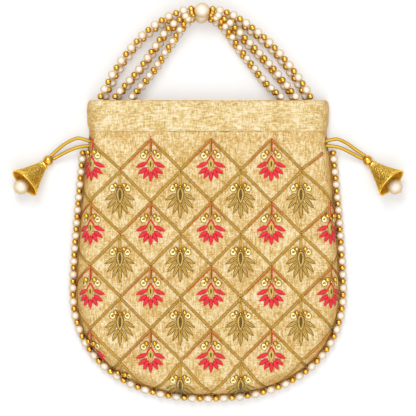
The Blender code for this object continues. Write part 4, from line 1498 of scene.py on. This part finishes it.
def make_cord(side, sign, place, angle, ball_place):
    spread = EYELET_SPREAD if place == "upper" else -EYELET_SPREAD
    start = Vector((sign * EYELET_X, EYELET_Y + spread, MID_Z))
    end = ball_place + Vector((-sign * math.cos(angle), math.sin(angle), 0)) * (BALL_R + 0.25)
    line = evenly(smooth_points([start] + CORD_ROUTES[side][place] + [end], steps=12), 0.6)
    cord = swept_cord(f"{side}_silk_cord_{place}", line)
    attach(cord, f"{side}_tassel")
    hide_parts(f"{side}_cord_{place}")
    lengths_along(line)[-1] * MM


def swept_cord(name, line, sides=16):
    """A round satin cord with a UV map: U runs along it in millimetres, V goes round it."""
    bm = bmesh.new()
    uv = bm.loops.layers.uv.new("cord_uv")
    up = Vector((0, 0, 1))
    rings = []
    for i, point in enumerate(line):
        along = (line[min(i + 1, len(line) - 1)] - line[max(i - 1, 0)]).normalized()
        out = along.cross(up).normalized()
        high = out.cross(along).normalized()
        ways = [out * math.cos(a) + high * math.sin(a)
                for a in (math.tau * k / sides for k in range(sides))]
        rings.append([bm.verts.new((point + way * CORD_R) * MM) for way in ways])
    lengths = lengths_along(line)
    for i in range(len(rings) - 1):
        for k in range(sides):
            n = (k + 1) % sides
            face = bm.faces.new((rings[i][k], rings[i][n], rings[i + 1][n], rings[i + 1][k]))
            corners = ((i, k), (i, k + 1), (i + 1, k + 1), (i + 1, k))
            for loop, (ring, turn) in zip(face.loops, corners):
                loop[uv].uv = (lengths[ring], 4.0 * turn / sides)
    bm.faces.new(rings[0][::-1])
    bm.faces.new(rings[-1])
    bmesh.ops.recalc_face_normals(bm, faces=bm.faces[:])
    return piece_from(bm, name, SATIN_CORD)


# Table and light

def make_table():
    deselect()
    bpy.ops.mesh.primitive_plane_add(size=TABLE_SIZE, location=(0, 0, TABLE_Z))
    table = active_piece("table")
    table.data.materials.append(floor_material())


SKY_STOPS = [(0.0, (0.40, 0.39, 0.37)), (0.35, (0.28, 0.27, 0.25)), (0.7, (0.60, 0.60, 0.60)),
             (0.93, (1.0, 1.0, 1.0))]
SKY_STRENGTH = 1.07

# Each lamp's name, place, width in metres and watts
LAMPS = (("key", (-0.25, 1.0, 1.3), 0.8, 10.0), ("fill", (0.3, -1.0, 1.2), 2.4, 10.4))


def make_light():
    """A sky that is white overhead and grey lower down, so that metal and pearls keep their
    edges, and two round lamps that face the bag."""
    world = bpy.data.worlds.new("studio")
    world.use_nodes = True
    bpy.context.scene.world = world
    tree = world.node_tree
    background = tree.nodes["Background"]
    way = tree.nodes.new("ShaderNodeTexCoord").outputs["Generated"]
    high = add_node(tree, "ShaderNodeSeparateXYZ", Vector=way).outputs["Z"]
    tree.links.new(ramp(tree, high, SKY_STOPS), background.inputs["Color"])
    background.inputs["Strength"].default_value = SKY_STRENGTH
    for name, place, size, power in LAMPS:
        data = bpy.data.lights.new(name, "AREA")
        data.shape = "DISK"
        data.size = size
        data.energy = power
        lamp = bpy.data.objects.new(name, data)
        lamp.location = place
        lamp.rotation_euler = (-Vector(place)).to_track_quat("-Z", "Y").to_euler()
        bpy.context.scene.collection.objects.link(lamp)


def dress_hidden_pieces():
    """The tapes, casings and drawstrings inside keep their solids and get their silk."""
    for name in ("front_strand_tape", "back_strand_tape", "front_casing", "back_casing"):
        set_material(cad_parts[name], PLAIN_SILK)
    for name in ("left_drawstring", "right_drawstring"):
        set_material(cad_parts[name], DRAWSTRING)


def set_material(piece, material):
    if not piece.material_slots:
        piece.data.materials.append(material)
    for slot in piece.material_slots:
        slot.material = material


make_camera()
for tassel_side, tassel_sign in (("left", -1), ("right", 1)):
    make_tassel(tassel_side, tassel_sign)
make_table()
make_light()
make_front_panel()
make_back_panel()
make_front_hem()
make_back_hem()
make_lattice()
make_motifs()
make_knots()
make_welt()
make_hem_stitches()
bead_kinds = bead_shapes()
make_piping(bead_kinds)
make_handles(bead_kinds)
drop_shapes(*bead_kinds)
dress_hidden_pieces()

bpy.context.scene.view_settings.view_transform = "Standard"
